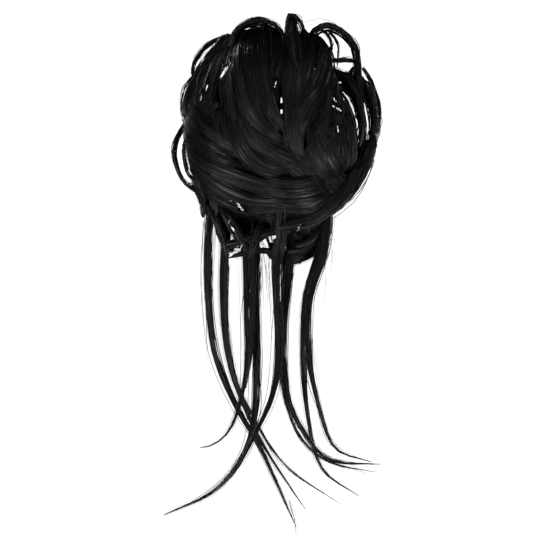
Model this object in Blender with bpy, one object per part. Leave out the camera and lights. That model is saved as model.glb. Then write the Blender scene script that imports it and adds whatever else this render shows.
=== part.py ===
"""Top knot hairpiece: a tousled bun of looped hair on an elastic band, with long loose tendrils.

Metres, +Z up. The front of the bun faces -Y. The origin is the centre of the elastic band,
which grips the wearer's own gathered hair in the hollow at the back of the bun.
"""

import math
from collections import namedtuple

import bmesh
import bpy
from mathutils import Vector

# Bun, as its locks outline it from the front and the side
BUN_HALF_WIDTH = 0.068
BUN_HALF_HEIGHT = 0.068
RIM_PLANE = 0.027
FRONT_RISE = 0.041
DOME_POWER = 0.62

# Packed hair under the locks, round the hollow that the wearer's own hair fills
RIM_LAYER = 0.018
FRONT_LAYER = 0.010
BACK_FACE = 0.003
HOLLOW_DEPTH = 0.036

# Elastic band
BAND_INNER_RADIUS = 0.0185
BAND_THICKNESS = 0.005

# Locks that lie on the dome, and how far their ends are tucked in
LOCK_HALF_WIDTH = 0.008
LOCK_HALF_DEPTH = 0.0045
END_TUCK = 0.012
END_WIDTH_SHARE = 0.40
BELLY_POWER = 0.6

# Locks that radiate from the band over the back of the bun
BACK_LOCKS = 11
BACK_LOCK_HALF_WIDTH = 0.011
BACK_LOCK_HALF_DEPTH = 0.0045
BACK_LOCK_SWIRL = math.radians(24.0)

# Loops that stand clear of the bun
LOOP_HALF_WIDTH = 0.008
LOOP_HALF_DEPTH = 0.003

# Tendrils, measured down from the middle of the band to the lowest tip
TENDRIL_DROP = 0.280
TENDRIL_HALF_WIDTH = 0.0025
TENDRIL_HALF_DEPTH = 0.0015
TIP_SHARE = 0.16
TIP_POWER = 1.6

# Clearance between pieces that touch
GAP = 0.0003

# Fineness of the solids
LOCK_SECTIONS = 9
BACK_SECTIONS = 7
LOOP_SECTIONS = 15
TENDRIL_SECTIONS = 17
LOCK_SIDES = 6
TENDRIL_SIDES = 6
CORE_SIDES = 20
CORE_ARC_STEPS = 6
BAND_SIDES = 24
BAND_SECTION_SIDES = 8
SMOOTHING_ANGLE = math.radians(60.0)

# Sizes that follow from those above
CORE_RADIUS = min(BUN_HALF_WIDTH, BUN_HALF_HEIGHT) - RIM_LAYER
BUN_FRONT = RIM_PLANE + FRONT_RISE
CORE_FRONT = BUN_FRONT - FRONT_LAYER
BAND_RADIUS = BAND_INNER_RADIUS + BAND_THICKNESS / 2.0
HOLLOW_RADIUS = BAND_INNER_RADIUS + BAND_THICKNESS + GAP

# Stations of a lock are (across, up) in the front view from the middle of the band, as shares of
# the bun's half width and half height. Width and depth are shares of the half sizes that locks
# share, and lift, how far it stands off the dome, is a share of their half depth.
Lock = namedtuple("Lock", "name start rise crest fall end lift width depth")
LOCKS = [
    Lock("crown_left_1", (-0.44, 0.98), (-0.70, 0.82), (-0.88, 0.58), (-0.97, 0.28), (-0.90, 0.00),
         lift=0.00, width=0.88, depth=0.93),
    Lock("crown_left_2", (-0.36, 0.96), (-0.58, 0.76), (-0.72, 0.48), (-0.76, 0.20), (-0.60, -0.10),
         lift=0.44, width=1.06, depth=1.00),
    Lock("crown_left_3", (-0.22, 0.98), (-0.38, 0.74), (-0.47, 0.43), (-0.50, 0.12), (-0.42, -0.20),
         lift=0.44, width=1.12, depth=1.00),
    Lock("left_side", (-0.98, 0.24), (-0.82, 0.06), (-0.60, -0.10), (-0.36, -0.20), (-0.14, -0.34),
         lift=0.22, width=1.00, depth=1.00),
    Lock("centre_1", (-0.32, 0.98), (-0.40, 0.64), (-0.40, 0.28), (-0.26, -0.10), (0.10, -0.36),
         lift=1.33, width=0.88, depth=1.00),
    Lock("centre_2", (-0.18, 0.98), (-0.22, 0.64), (-0.20, 0.28), (-0.06, -0.04), (0.18, -0.22),
         lift=0.89, width=0.94, depth=1.00),
    Lock("centre_3", (-0.02, 0.94), (-0.05, 0.72), (-0.10, 0.42), (0.00, 0.10), (0.14, -0.16),
         lift=0.22, width=0.81, depth=0.93),
    Lock("centre_4", (0.14, 1.00), (0.18, 0.78), (0.13, 0.52), (0.11, 0.20), (0.18, -0.16),
         lift=1.33, width=0.75, depth=1.00),
    Lock("centre_5", (0.26, 0.98), (0.34, 0.74), (0.41, 0.42), (0.43, 0.06), (0.50, -0.36),
         lift=0.89, width=1.06, depth=1.00),
    Lock("crossing", (0.52, 0.56), (0.40, 0.40), (0.26, 0.20), (0.12, -0.06), (0.06, -0.34),
         lift=1.56, width=0.75, depth=0.89),
    Lock("middle", (0.30, 0.10), (0.26, -0.06), (0.32, -0.28), (0.48, -0.48), (0.66, -0.60),
         lift=0.67, width=1.12, depth=1.00),
    Lock("right_1", (0.52, 0.62), (0.62, 0.40), (0.66, 0.10), (0.64, -0.20), (0.56, -0.50),
         lift=0.67, width=0.94, depth=1.00),
    Lock("right_2", (0.60, 0.56), (0.78, 0.34), (0.85, 0.06), (0.80, -0.24), (0.66, -0.52),
         lift=0.44, width=0.81, depth=1.00),
    Lock("lower_right", (0.94, -0.18), (0.84, -0.46), (0.66, -0.72), (0.44, -0.88), (0.18, -0.94),
         lift=0.22, width=1.00, depth=1.00),
    Lock("sweep_1", (-0.96, 0.12), (-0.78, -0.18), (-0.46, -0.42), (-0.06, -0.58), (0.40, -0.56),
         lift=1.11, width=1.00, depth=1.11),
    Lock("sweep_2", (-0.94, -0.08), (-0.76, -0.38), (-0.40, -0.62), (0.02, -0.74), (0.46, -0.66),
         lift=0.89, width=1.00, depth=1.11),
    Lock("sweep_3", (-0.90, -0.36), (-0.76, -0.62), (-0.46, -0.82), (-0.12, -0.94), (0.22, -0.92),
         lift=0.44, width=0.94, depth=1.00),
    Lock("sweep_4", (0.74, -0.50), (0.60, -0.74), (0.36, -0.88), (0.12, -0.96), (-0.20, -0.98),
         lift=1.33, width=0.75, depth=0.89),
    Lock("bottom_left", (-0.86, -0.62), (-0.78, -0.84), (-0.56, -0.94), (-0.32, -1.02), (-0.04, -1.04),
         lift=-0.22, width=0.88, depth=1.00),
]

# Stations of every back lock: reach is the share of the way from the hollow's wall to the core's
# edge, forward the share of the way from the back face to the core's front.
BackStation = namedtuple("BackStation", "reach forward")
BACK_LOCK_STATIONS = [
    BackStation(reach=0.27, forward=0.05),
    BackStation(reach=0.75, forward=0.02),
    BackStation(reach=1.23, forward=0.24),
    BackStation(reach=1.31, forward=0.54),
    BackStation(reach=0.92, forward=0.81),
]

# Loops at the rim, each a piece of its own seated in the bun at both ends. Stations are as a
# lock's, forward is a share of the front rise, width and depth of the half sizes that loops share.
Loop = namedtuple("Loop", "name root rise crest fall end forward width depth")
LOOPS = [
    Loop("crown_loop_left", (-0.50, 0.80), (-0.40, 1.08), (-0.22, 1.165), (-0.06, 1.08), (0.10, 0.78),
         forward=0.10, width=1.19, depth=0.60),
    Loop("crown_loop_middle", (0.04, 0.78), (0.05, 1.08), (0.12, 1.17), (0.22, 1.08), (0.26, 0.78),
         forward=0.44, width=0.75, depth=0.73),
    Loop("crown_loop_right", (0.24, 0.76), (0.34, 1.02), (0.54, 1.08), (0.76, 0.86), (0.80, 0.46),
         forward=0.15, width=1.00, depth=0.87),
    Loop("side_loop_left_upper", (-0.46, 0.78), (-0.68, 0.92), (-0.84, 0.78), (-0.92, 0.62), (-0.80, 0.42),
         forward=-0.15, width=0.44, depth=0.40),
    Loop("side_loop_left_outer", (-0.88, 0.20), (-1.05, -0.04), (-1.09, -0.26), (-1.0, -0.50), (-0.76, -0.66),
         forward=-0.07, width=0.35, depth=0.50),
    Loop("side_loop_left_inner", (-0.86, 0.14), (-0.98, -0.10), (-0.98, -0.30), (-0.93, -0.46), (-0.72, -0.6),
         forward=0.15, width=0.28, depth=0.40),
    Loop("side_loop_right", (0.72, 0.66), (0.94, 0.42), (1.02, 0.14), (0.98, -0.12), (0.74, -0.42),
         forward=-0.27, width=1.00, depth=1.00),
    Loop("nape_curl_right", (0.44, -0.70), (0.45, -1.04), (0.26, -1.25), (-0.04, -1.27), (-0.24, -0.88),
         forward=-0.24, width=1.00, depth=1.33),
    Loop("nape_curl_middle", (0.30, -0.64), (0.30, -0.92), (0.17, -1.06), (0.02, -1.04), (-0.03, -0.70),
         forward=-0.24, width=1.12, depth=1.47),
    Loop("nape_curl_left", (-0.66, -0.60), (-0.62, -1.04), (-0.46, -1.22), (-0.38, -1.06), (-0.44, -0.70),
         forward=-0.22, width=0.88, depth=0.93),
]

# Stations of a tendril are (across, down), as shares of the bun's half width and of the tendril
# drop. Layer is its distance in front of the band and tip_forward what its tip comes forward
# beyond that, as shares of the bun's front; width and depth are shares of its half sizes.
Tendril = namedtuple(
    "Tendril", "name root collar thigh knee shin ankle foot tip layer tip_forward width depth"
)
TENDRILS = [
    Tendril("tendril_1", (-0.50, 0.10), (-0.69, 0.16), (-0.75, 0.26), (-0.74, 0.445), (-0.66, 0.57),
            (-0.45, 0.695), (-0.20, 0.80), (0.16, 0.998),
            layer=0.37, tip_forward=-0.24, width=1.04, depth=1.07),
    Tendril("tendril_2", (-0.42, 0.115), (-0.57, 0.18), (-0.59, 0.295), (-0.60, 0.445), (-0.535, 0.57),
            (-0.39, 0.68), (-0.18, 0.785), (0.25, 0.945),
            layer=0.44, tip_forward=-0.12, width=0.88, depth=0.93),
    Tendril("tendril_3", (-0.36, 0.12), (-0.51, 0.195), (-0.55, 0.32), (-0.56, 0.47), (-0.49, 0.60),
            (-0.31, 0.70), (0.04, 0.83), (0.62, 0.928),
            layer=0.50, tip_forward=0.00, width=0.40, depth=0.60),
    Tendril("tendril_4", (-0.34, 0.12), (-0.35, 0.22), (-0.35, 0.42), (-0.34, 0.545), (-0.39, 0.645),
            (-0.50, 0.73), (-0.66, 0.77), (-0.82, 0.78),
            layer=0.57, tip_forward=0.18, width=0.96, depth=1.07),
    Tendril("tendril_5", (-0.25, 0.12), (-0.26, 0.22), (-0.26, 0.42), (-0.25, 0.595), (-0.29, 0.735),
            (-0.44, 0.825), (-0.71, 0.893), (-1.18, 0.945),
            layer=0.58, tip_forward=0.15, width=1.20, depth=1.20),
    Tendril("tendril_6", (-0.12, 0.12), (-0.06, 0.22), (-0.05, 0.395), (-0.03, 0.53), (-0.08, 0.645),
            (-0.25, 0.74), (-0.42, 0.815), (-0.69, 0.888),
            layer=0.66, tip_forward=0.18, width=1.08, depth=1.07),
    Tendril("tendril_7", (0.02, 0.12), (0.03, 0.22), (0.03, 0.37), (-0.02, 0.545), (0.05, 0.67),
            (0.20, 0.763), (0.50, 0.823), (0.98, 0.848),
            layer=0.51, tip_forward=-0.03, width=0.56, depth=0.80),
    Tendril("tendril_8", (0.08, 0.12), (0.09, 0.22), (0.08, 0.345), (0.02, 0.52), (0.07, 0.66),
            (0.24, 0.748), (0.50, 0.812), (1.00, 0.820),
            layer=0.57, tip_forward=0.18, width=0.96, depth=0.93),
    Tendril("tendril_9", (0.30, 0.12), (0.42, 0.195), (0.39, 0.30), (0.25, 0.42), (0.23, 0.57),
            (0.28, 0.72), (0.43, 0.845), (0.81, 0.915),
            layer=0.43, tip_forward=-0.18, width=0.88, depth=0.93),
    Tendril("tendril_10", (0.36, 0.12), (0.47, 0.19), (0.44, 0.30), (0.29, 0.42), (0.29, 0.57),
            (0.40, 0.695), (0.56, 0.788), (0.92, 0.820),
            layer=0.49, tip_forward=0.06, width=0.96, depth=0.93),
]


def clear_scene():
    """Removes every object, so the script can be run again."""
    for obj in list(bpy.data.objects):
        bpy.data.objects.remove(obj, do_unlink=True)


def make_material(name, colour, roughness):
    """A Principled surface of one colour."""
    material = bpy.data.materials.new(name)
    material.use_nodes = True
    shader = material.node_tree.nodes["Principled BSDF"]
    shader.inputs["Base Color"].default_value = (*colour, 1.0)
    shader.inputs["Roughness"].default_value = roughness
    shader.inputs["Metallic"].default_value = 0.0
    return material


def mix(low, high, share):
    """The value that lies the given share of the way from low to high."""
    return low + (high - low) * share


def catmull_rom(before, start, end, after, share):
    """A point between start and end on the smooth curve through all four."""
    return 0.5 * (
        2.0 * start
        + (end - before) * share
        + (2.0 * before - 5.0 * start + 4.0 * end - after) * share**2
        + (3.0 * start - before - 3.0 * end + after) * share**3
    )


def smooth_path(stations, count):
    """The given number of points, evenly spread by length, on a smooth curve through the stations."""
    points = [Vector(station) for station in stations]
    ends = [2.0 * points[0] - points[1], *points, 2.0 * points[-1] - points[-2]]
    fine_steps = 12
    fine = [points[0]]
    for before, start, end, after in zip(ends, ends[1:], ends[2:], ends[3:]):
        for step in range(1, fine_steps + 1):
            fine.append(catmull_rom(before, start, end, after, step / fine_steps))
    lengths = [0.0]
    for start, end in zip(fine, fine[1:]):
        lengths.append(lengths[-1] + (end - start).length)
    path = []
    piece = 0
    for index in range(count):
        target = lengths[-1] * index / (count - 1)
        while piece < len(fine) - 2 and lengths[piece + 1] < target:
            piece += 1
        share = (target - lengths[piece]) / (lengths[piece + 1] - lengths[piece])
        path.append(fine[piece].lerp(fine[piece + 1], min(share, 1.0)))
    return path


def dome_rise(across, up):
    """How far the hair stands in front of the rim plane at a place in the front view."""
    reach = min(1.0, math.hypot(across / BUN_HALF_WIDTH, up / BUN_HALF_HEIGHT))
    return FRONT_RISE * (1.0 - reach**2) ** DOME_POWER


def outward(point):
    """The direction that faces away from the middle of the bun at a point."""
    return Vector(
        (
            point.x / BUN_HALF_WIDTH**2,
            (point.y + RIM_PLANE) / FRONT_RISE**2,
            point.z / BUN_HALF_HEIGHT**2,
        )
    ).normalized()


def belly(share):
    """0 at both ends of a lock and 1 in its middle."""
    return math.sin(math.pi * min(max(share, 0.0), 1.0)) ** BELLY_POWER


def shares(count):
    """Evenly spread shares from 0 to 1."""
    return [index / (count - 1) for index in range(count)]


def front_view(station):
    """A station of a lock or loop as metres across and up."""
    return (station[0] * BUN_HALF_WIDTH, station[1] * BUN_HALF_HEIGHT)


def lock_path(lock):
    """The middle line of a lock that lies on the dome, its ends tucked in."""
    stations = [front_view(station) for station in lock[1:6]]
    path = []
    for share, flat in zip(shares(LOCK_SECTIONS), smooth_path(stations, LOCK_SECTIONS)):
        surface = Vector((flat.x, -RIM_PLANE - dome_rise(flat.x, flat.y), flat.y))
        stand_off = lock.lift * LOCK_HALF_DEPTH - END_TUCK * (1.0 - belly(share))
        path.append(surface + outward(surface) * stand_off)
    return path


def back_lock_path(index):
    """The middle line of a lock that runs from the band over the back and round the rim."""
    start_angle = math.tau * index / BACK_LOCKS
    stations = [
        (
            mix(HOLLOW_RADIUS, CORE_RADIUS, station.reach),
            mix(BACK_FACE, -CORE_FRONT, station.forward),
        )
        for station in BACK_LOCK_STATIONS
    ]
    path = []
    for share, station in zip(shares(BACK_SECTIONS), smooth_path(stations, BACK_SECTIONS)):
        angle = start_angle + BACK_LOCK_SWIRL * share
        path.append(Vector((station.x * math.cos(angle), station.y, station.x * math.sin(angle))))
    return path


def loop_path(loop):
    """The middle line of a loop that stands at the rim, its ends turned in to the bun."""
    stations = [front_view(station) for station in loop[1:6]]
    y = -RIM_PLANE - loop.forward * FRONT_RISE
    return [Vector((flat.x, y, flat.y)) for flat in smooth_path(stations, LOOP_SECTIONS)]


def tendril_path(tendril):
    """The middle line of a tendril, from its root in the bun to its tip."""
    stations = [(across * BUN_HALF_WIDTH, -down * TENDRIL_DROP) for across, down in tendril[1:9]]
    path = []
    for share, flat in zip(shares(TENDRIL_SECTIONS), smooth_path(stations, TENDRIL_SECTIONS)):
        forward = (tendril.layer + tendril.tip_forward * share**3) * BUN_FRONT
        path.append(Vector((flat.x, -forward, flat.y)))
    return path


def new_object(name, mesh_builder, material):
    """An object whose mesh is the given bmesh, with its faces pointing out and shaded smooth."""
    bmesh.ops.recalc_face_normals(mesh_builder, faces=mesh_builder.faces)
    mesh = bpy.data.meshes.new(name)
    mesh_builder.to_mesh(mesh)
    mesh_builder.free()
    mesh.materials.append(material)
    mesh.shade_smooth()
    mesh.set_sharp_from_angle(angle=SMOOTHING_ANGLE)
    obj = bpy.data.objects.new(name, mesh)
    bpy.context.scene.collection.objects.link(obj)
    return obj


def bridge(mesh_builder, rings):
    """Flat triangles between each ring of points and the next, cut along the same diagonal on every piece."""
    for low, high in zip(rings, rings[1:]):
        for side in range(len(low)):
            following = (side + 1) % len(low)
            mesh_builder.faces.new((low[side], low[following], high[following]))
            mesh_builder.faces.new((low[side], high[following], high[side]))


def loft(name, path, facing, sections, sides, material):
    """A closed lock along a path: facing gives its outer side, sections its half width and depth."""
    mesh_builder = bmesh.new()
    rings = []
    for index, (point, out, (half_width, half_depth)) in enumerate(zip(path, facing, sections)):
        before = path[max(index - 1, 0)]
        after = path[min(index + 1, len(path) - 1)]
        along = (after - before).normalized()
        side = along.cross(out).normalized()
        out = side.cross(along).normalized()
        ring = []
        for corner in range(sides):
            angle = math.tau * (corner + 0.5) / sides
            offset = side * half_width * math.cos(angle) + out * half_depth * math.sin(angle)
            ring.append(mesh_builder.verts.new(point + offset))
        rings.append(ring)
    bridge(mesh_builder, rings)
    mesh_builder.faces.new(rings[0])
    mesh_builder.faces.new(rings[-1])
    return new_object(name, mesh_builder, material)


def belly_sections(half_width, half_depth, count):
    """Sections of a lock that is widest in its middle."""
    swell = [mix(END_WIDTH_SHARE, 1.0, belly(share)) for share in shares(count)]
    return [(half_width * fullness, half_depth * fullness) for fullness in swell]


def dome_lock(lock, material):
    """A lock that lies on the dome."""
    path = lock_path(lock)
    sections = belly_sections(lock.width * LOCK_HALF_WIDTH, lock.depth * LOCK_HALF_DEPTH, LOCK_SECTIONS)
    return loft(lock.name, path, [outward(point) for point in path], sections, LOCK_SIDES, material)


def back_lock(index, material):
    """One of the locks that radiate from the band over the back of the bun."""
    path = back_lock_path(index)
    sections = belly_sections(BACK_LOCK_HALF_WIDTH, BACK_LOCK_HALF_DEPTH, BACK_SECTIONS)
    facing = [outward(point) for point in path]
    return loft(f"back_{index + 1}", path, facing, sections, LOCK_SIDES, material)


def standing_loop(name, loop, clearance, material):
    """A loop at the rim, a thin band of hair that is broad from front to back."""
    path = loop_path(loop)
    middle = Vector((sum(point.x for point in path), 0.0, sum(point.z for point in path))) / len(path)
    facing = [Vector((point.x - middle.x, 0.0, point.z - middle.z)).normalized() for point in path]
    half_depth = loop.depth * LOOP_HALF_DEPTH + clearance
    sections = []
    for share in shares(LOOP_SECTIONS):
        fullness = mix(END_WIDTH_SHARE, 1.0, belly(share))
        sections.append((loop.width * LOOP_HALF_WIDTH * fullness + clearance, half_depth))
    return loft(name, path, facing, sections, LOCK_SIDES, material)


def hanging_tendril(name, tendril, clearance, material):
    """A tendril, which thins to a fine tip and is broadest across the front view."""
    path = tendril_path(tendril)
    facing = [Vector((0.0, -1.0, 0.0))] * len(path)
    half_width = tendril.width * TENDRIL_HALF_WIDTH
    half_depth = tendril.depth * TENDRIL_HALF_DEPTH
    sections = []
    for share in shares(TENDRIL_SECTIONS):
        left = mix(1.0, TIP_SHARE, share**TIP_POWER)
        sections.append((half_width * left + clearance, half_depth * left + clearance))
    return loft(name, path, facing, sections, TENDRIL_SIDES, material)


def lathe(name, profile, sides, material):
    """A closed solid turned round the Y axis from (radius, y) points that start and end on the axis."""
    mesh_builder = bmesh.new()
    rings = []
    for radius, y in profile[1:-1]:
        ring = []
        for corner in range(sides):
            angle = math.tau * corner / sides
            ring.append(mesh_builder.verts.new((radius * math.cos(angle), y, radius * math.sin(angle))))
        rings.append(ring)
    bridge(mesh_builder, rings)
    for (_, y), ring in ((profile[0], rings[0]), (profile[-1], rings[-1])):
        pole = mesh_builder.verts.new((0.0, y, 0.0))
        for side in range(sides):
            mesh_builder.faces.new((pole, ring[side], ring[(side + 1) % sides]))
    return new_object(name, mesh_builder, material)


def quarter_arc(start, end, steps):
    """Points from start to end on a quarter ellipse that leaves start square to the axis."""
    points = []
    for step in range(steps + 1):
        angle = math.pi / 2.0 * step / steps
        points.append((mix(start[0], end[0], math.sin(angle)), mix(start[1], end[1], 1.0 - math.cos(angle))))
    return points


def hollow_profile():
    """The hollow's outline from its wall to the pole of its rounded floor."""
    corner = (HOLLOW_RADIUS, -HOLLOW_DEPTH + HOLLOW_RADIUS / 2.0)
    floor = quarter_arc((0.0, -HOLLOW_DEPTH), corner, CORE_ARC_STEPS // 2)
    floor.reverse()
    return floor


def core_profile():
    """The packed hair's outline from its front pole, round the rim and the hollow, to the hollow's pole."""
    front = quarter_arc((0.0, -CORE_FRONT), (CORE_RADIUS, -RIM_PLANE), CORE_ARC_STEPS)
    lip_radius = HOLLOW_RADIUS + BAND_THICKNESS
    back = quarter_arc((lip_radius, BACK_FACE), (CORE_RADIUS, -RIM_PLANE), CORE_ARC_STEPS)
    back.reverse()
    return [*front, *back[1:], (HOLLOW_RADIUS, BACK_FACE), *hollow_profile()]


def hollow_cutter(material):
    """The hollow, run out past the back face, which clears it of the locks' ends."""
    mouth = BACK_FACE + BAND_THICKNESS * 2.0
    profile = [(0.0, mouth), (HOLLOW_RADIUS, mouth), *hollow_profile()]
    return lathe("cut_hollow", profile, CORE_SIDES, material)


def combine(obj, operation, shapes):
    """Joins the shapes to an object, or cuts them from it, and removes them."""
    collection = bpy.data.collections.new(operation.lower())
    for shape in shapes:
        collection.objects.link(shape)
    modifier = obj.modifiers.new(operation.lower(), "BOOLEAN")
    modifier.operation = operation
    modifier.operand_type = "COLLECTION"
    modifier.collection = collection
    modifier.solver = "EXACT"
    graph = bpy.context.evaluated_depsgraph_get()
    obj.data = bpy.data.meshes.new_from_object(obj.evaluated_get(graph))
    obj.modifiers.clear()
    for shape in shapes:
        bpy.data.objects.remove(shape, do_unlink=True)
    bpy.data.collections.remove(collection)


def island_of(start):
    """The vertices that are joined to a vertex by edges."""
    island = {start}
    waiting = [start]
    while waiting:
        for edge in waiting.pop().link_edges:
            for vertex in edge.verts:
                if vertex not in island:
                    island.add(vertex)
                    waiting.append(vertex)
    return island


def drop_offcuts(obj):
    """Removes the crumbs that the cuts left loose."""
    mesh_builder = bmesh.new()
    mesh_builder.from_mesh(obj.data)
    left = set(mesh_builder.verts)
    islands = []
    while left:
        islands.append(island_of(next(iter(left))))
        left -= islands[-1]
    largest = max(islands, key=len)
    offcuts = [vertex for vertex in mesh_builder.verts if vertex not in largest]
    bmesh.ops.delete(mesh_builder, geom=offcuts, context="VERTS")
    mesh_builder.to_mesh(obj.data)
    mesh_builder.free()


def build_bun(material):
    """The packed hair with its locks fused on, hollow at the back, socketed for each separate piece."""
    bun = lathe("bun", core_profile(), CORE_SIDES, material)
    locks = [dome_lock(lock, material) for lock in LOCKS]
    locks += [back_lock(index, material) for index in range(BACK_LOCKS)]
    combine(bun, "UNION", locks)
    cuts = [hollow_cutter(material)]
    cuts += [standing_loop("cut_" + loop.name, loop, GAP, material) for loop in LOOPS]
    cuts += [hanging_tendril("cut_" + tendril.name, tendril, GAP, material) for tendril in TENDRILS]
    combine(bun, "DIFFERENCE", cuts)
    drop_offcuts(bun)
    return bun


def build_band(material):
    """The elastic band, a ring that the wearer's own hair goes through."""
    mesh_builder = bmesh.new()
    rings = []
    for step in range(BAND_SIDES):
        turn = math.tau * step / BAND_SIDES
        ring = []
        for corner in range(BAND_SECTION_SIDES):
            angle = math.tau * corner / BAND_SECTION_SIDES
            radius = BAND_RADIUS + BAND_THICKNESS / 2.0 * math.cos(angle)
            y = BAND_THICKNESS / 2.0 * math.sin(angle)
            ring.append(mesh_builder.verts.new((radius * math.cos(turn), y, radius * math.sin(turn))))
        rings.append(ring)
    bridge(mesh_builder, [*rings, rings[0]])
    return new_object("elastic_band", mesh_builder, material)


def main():
    """Builds each piece of the hairpiece as an object of its own."""
    clear_scene()
    hair = make_material("black_hair", (0.012, 0.012, 0.013), 0.42)
    elastic = make_material("black_elastic", (0.010, 0.010, 0.010), 0.80)
    build_band(elastic)
    build_bun(hair)
    for loop in LOOPS:
        standing_loop(loop.name, loop, 0.0, hair)
    for tendril in TENDRILS:
        hanging_tendril(tendril.name, tendril, 0.0, hair)


main()
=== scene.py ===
"""Top knot hairpiece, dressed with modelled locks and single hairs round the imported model.

Metres, +Z up. The front of the bun faces -Y and the origin is the centre of the elastic band, as
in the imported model. Laid out as a Blender add-on: a panel of sizes and colours, and one operator
for each group of pieces. Run as a script, it makes them all in order.
"""

import math
import random
from collections import namedtuple

import bmesh
import bpy
import numpy as np
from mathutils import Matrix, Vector, noise


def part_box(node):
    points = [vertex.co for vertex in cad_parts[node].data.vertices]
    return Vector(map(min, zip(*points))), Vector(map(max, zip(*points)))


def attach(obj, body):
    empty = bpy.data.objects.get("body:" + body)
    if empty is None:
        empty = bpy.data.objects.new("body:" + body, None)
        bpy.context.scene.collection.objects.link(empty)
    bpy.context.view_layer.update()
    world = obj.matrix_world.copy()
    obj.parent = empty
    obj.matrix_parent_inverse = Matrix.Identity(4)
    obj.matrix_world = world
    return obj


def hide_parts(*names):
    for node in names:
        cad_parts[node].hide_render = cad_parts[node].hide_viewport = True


bl_info = {
    "name": "Top knot hairpiece",
    "version": (1, 0, 0),
    "blender": (4, 5, 0),
    "location": "3D View > Sidebar > Hairpiece",
    "description": "Dresses the packed top knot hairpiece with locks, hairs and a covered elastic",
    "category": "Add Mesh",
}

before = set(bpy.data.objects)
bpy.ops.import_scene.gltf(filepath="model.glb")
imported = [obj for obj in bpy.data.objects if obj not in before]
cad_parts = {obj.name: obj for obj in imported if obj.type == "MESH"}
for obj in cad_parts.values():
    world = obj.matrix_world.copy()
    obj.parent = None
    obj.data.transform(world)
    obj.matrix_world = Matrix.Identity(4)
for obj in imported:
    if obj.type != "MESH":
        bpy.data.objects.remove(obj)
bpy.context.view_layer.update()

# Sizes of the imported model's hair that its boxes don't give
BUN_HALF_WIDTH = 0.068
BUN_HALF_HEIGHT = 0.068
RIM_PLANE = 0.027
FRONT_RISE = 0.041
DOME_POWER = 0.62
RIM_LAYER = 0.018
FRONT_LAYER = 0.010
BACK_FACE = 0.003
HOLLOW_DEPTH = 0.036
LOCK_HALF_WIDTH = 0.008
LOCK_HALF_DEPTH = 0.0045
END_TUCK = 0.012
LOOP_HALF_WIDTH = 0.008
LOOP_HALF_DEPTH = 0.003
TENDRIL_DROP = 0.280
TENDRIL_HALF_WIDTH = 0.0025
TENDRIL_HALF_DEPTH = 0.0015

# The band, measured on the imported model
BAND_LOW, BAND_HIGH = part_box("elastic_band")
BAND_THICKNESS = BAND_HIGH.y - BAND_LOW.y
BAND_RADIUS = BAND_HIGH.x - BAND_THICKNESS / 2.0
HOLLOW_RADIUS = BAND_HIGH.x + 0.0003

BUN_FRONT = RIM_PLANE + FRONT_RISE
CORE_RADIUS = BUN_HALF_WIDTH - RIM_LAYER
CORE_FRONT = BUN_FRONT - FRONT_LAYER

# The photograph's frame: 551 pixels square, 0.70 mm to a pixel, the band's centre at (281, 132)
PIXEL = 0.00070
IMAGE_SIDE = 551
BAND_PIXEL = (281.0, 132.0)

# The camera that took the photograph, level and square to the front: its lens in millimetres, the
# point it aims at, and its distance from the rim plane
SENSOR = 36.0
LENS = 100.0
VIEW_ACROSS = (IMAGE_SIDE / 2.0 - BAND_PIXEL[0]) * PIXEL
VIEW_UP = (BAND_PIXEL[1] - IMAGE_SIDE / 2.0) * PIXEL
VIEW_DISTANCE = IMAGE_SIDE * PIXEL * LENS / SENSOR

# Stations of a lock are (across, up) in the front view from the middle of the band, as shares of
# the bun's half width and half height. Width and depth are shares of the half sizes that locks
# share, and lift, how far it stands off the dome, is a share of their half depth.
Lock = namedtuple("Lock", "name start rise crest fall end lift width depth")
CROWN_LOCKS = [
    Lock("crown_left_1", (-0.42, 0.95), (-0.62, 0.75), (-0.78, 0.52), (-0.88, 0.26), (-0.86, 0.00),
         lift=0.00, width=0.88, depth=0.93),
    Lock("crown_left_2", (-0.36, 0.96), (-0.58, 0.76), (-0.72, 0.48), (-0.76, 0.20),
         (-0.60, -0.10), lift=0.44, width=1.06, depth=1.00),
    Lock("crown_left_3", (-0.22, 0.98), (-0.38, 0.74), (-0.47, 0.43), (-0.50, 0.12),
         (-0.42, -0.20), lift=0.44, width=1.12, depth=1.00),
    Lock("left_side", (-0.98, 0.24), (-0.82, 0.06), (-0.60, -0.10), (-0.36, -0.20), (-0.14, -0.34),
         lift=0.22, width=1.00, depth=1.00),
    Lock("rim_left", (-0.47, 0.96), (-0.62, 0.84), (-0.79, 0.66), (-0.95, 0.42), (-1.01, 0.21),
         lift=0.3, width=0.45, depth=0.8),
    Lock("fall_left_1", (-0.56, 0.96), (-0.58, 0.79), (-0.64, 0.62), (-0.69, 0.48), (-0.71, 0.33),
         lift=0.6, width=0.50, depth=0.8),
    Lock("fall_left_2", (-0.58, 0.88), (-0.72, 0.74), (-0.80, 0.57), (-0.78, 0.35), (-0.56, 0.19),
         lift=1.0, width=0.55, depth=0.8),
    Lock("fall_left_4", (-0.49, 0.96), (-0.52, 0.76), (-0.54, 0.54), (-0.56, 0.35), (-0.53, 0.12),
         lift=0.6, width=0.55, depth=0.8),
    Lock("fall_left_6", (-0.97, 0.28), (-0.90, 0.11), (-0.73, -0.05), (-0.56, -0.10),
         (-0.39, -0.12), lift=0.6, width=0.70, depth=0.9),
    Lock("fall_left_7", (-0.59, 0.96), (-0.68, 0.81), (-0.73, 0.66), (-0.73, 0.45), (-0.68, 0.24),
         lift=0.8, width=0.50, depth=0.8),
    Lock("fall_left_8", (-0.63, 0.35), (-0.61, 0.21), (-0.59, 0.07), (-0.56, -0.07),
         (-0.46, -0.24), lift=0.7, width=0.70, depth=0.9),
]
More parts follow.
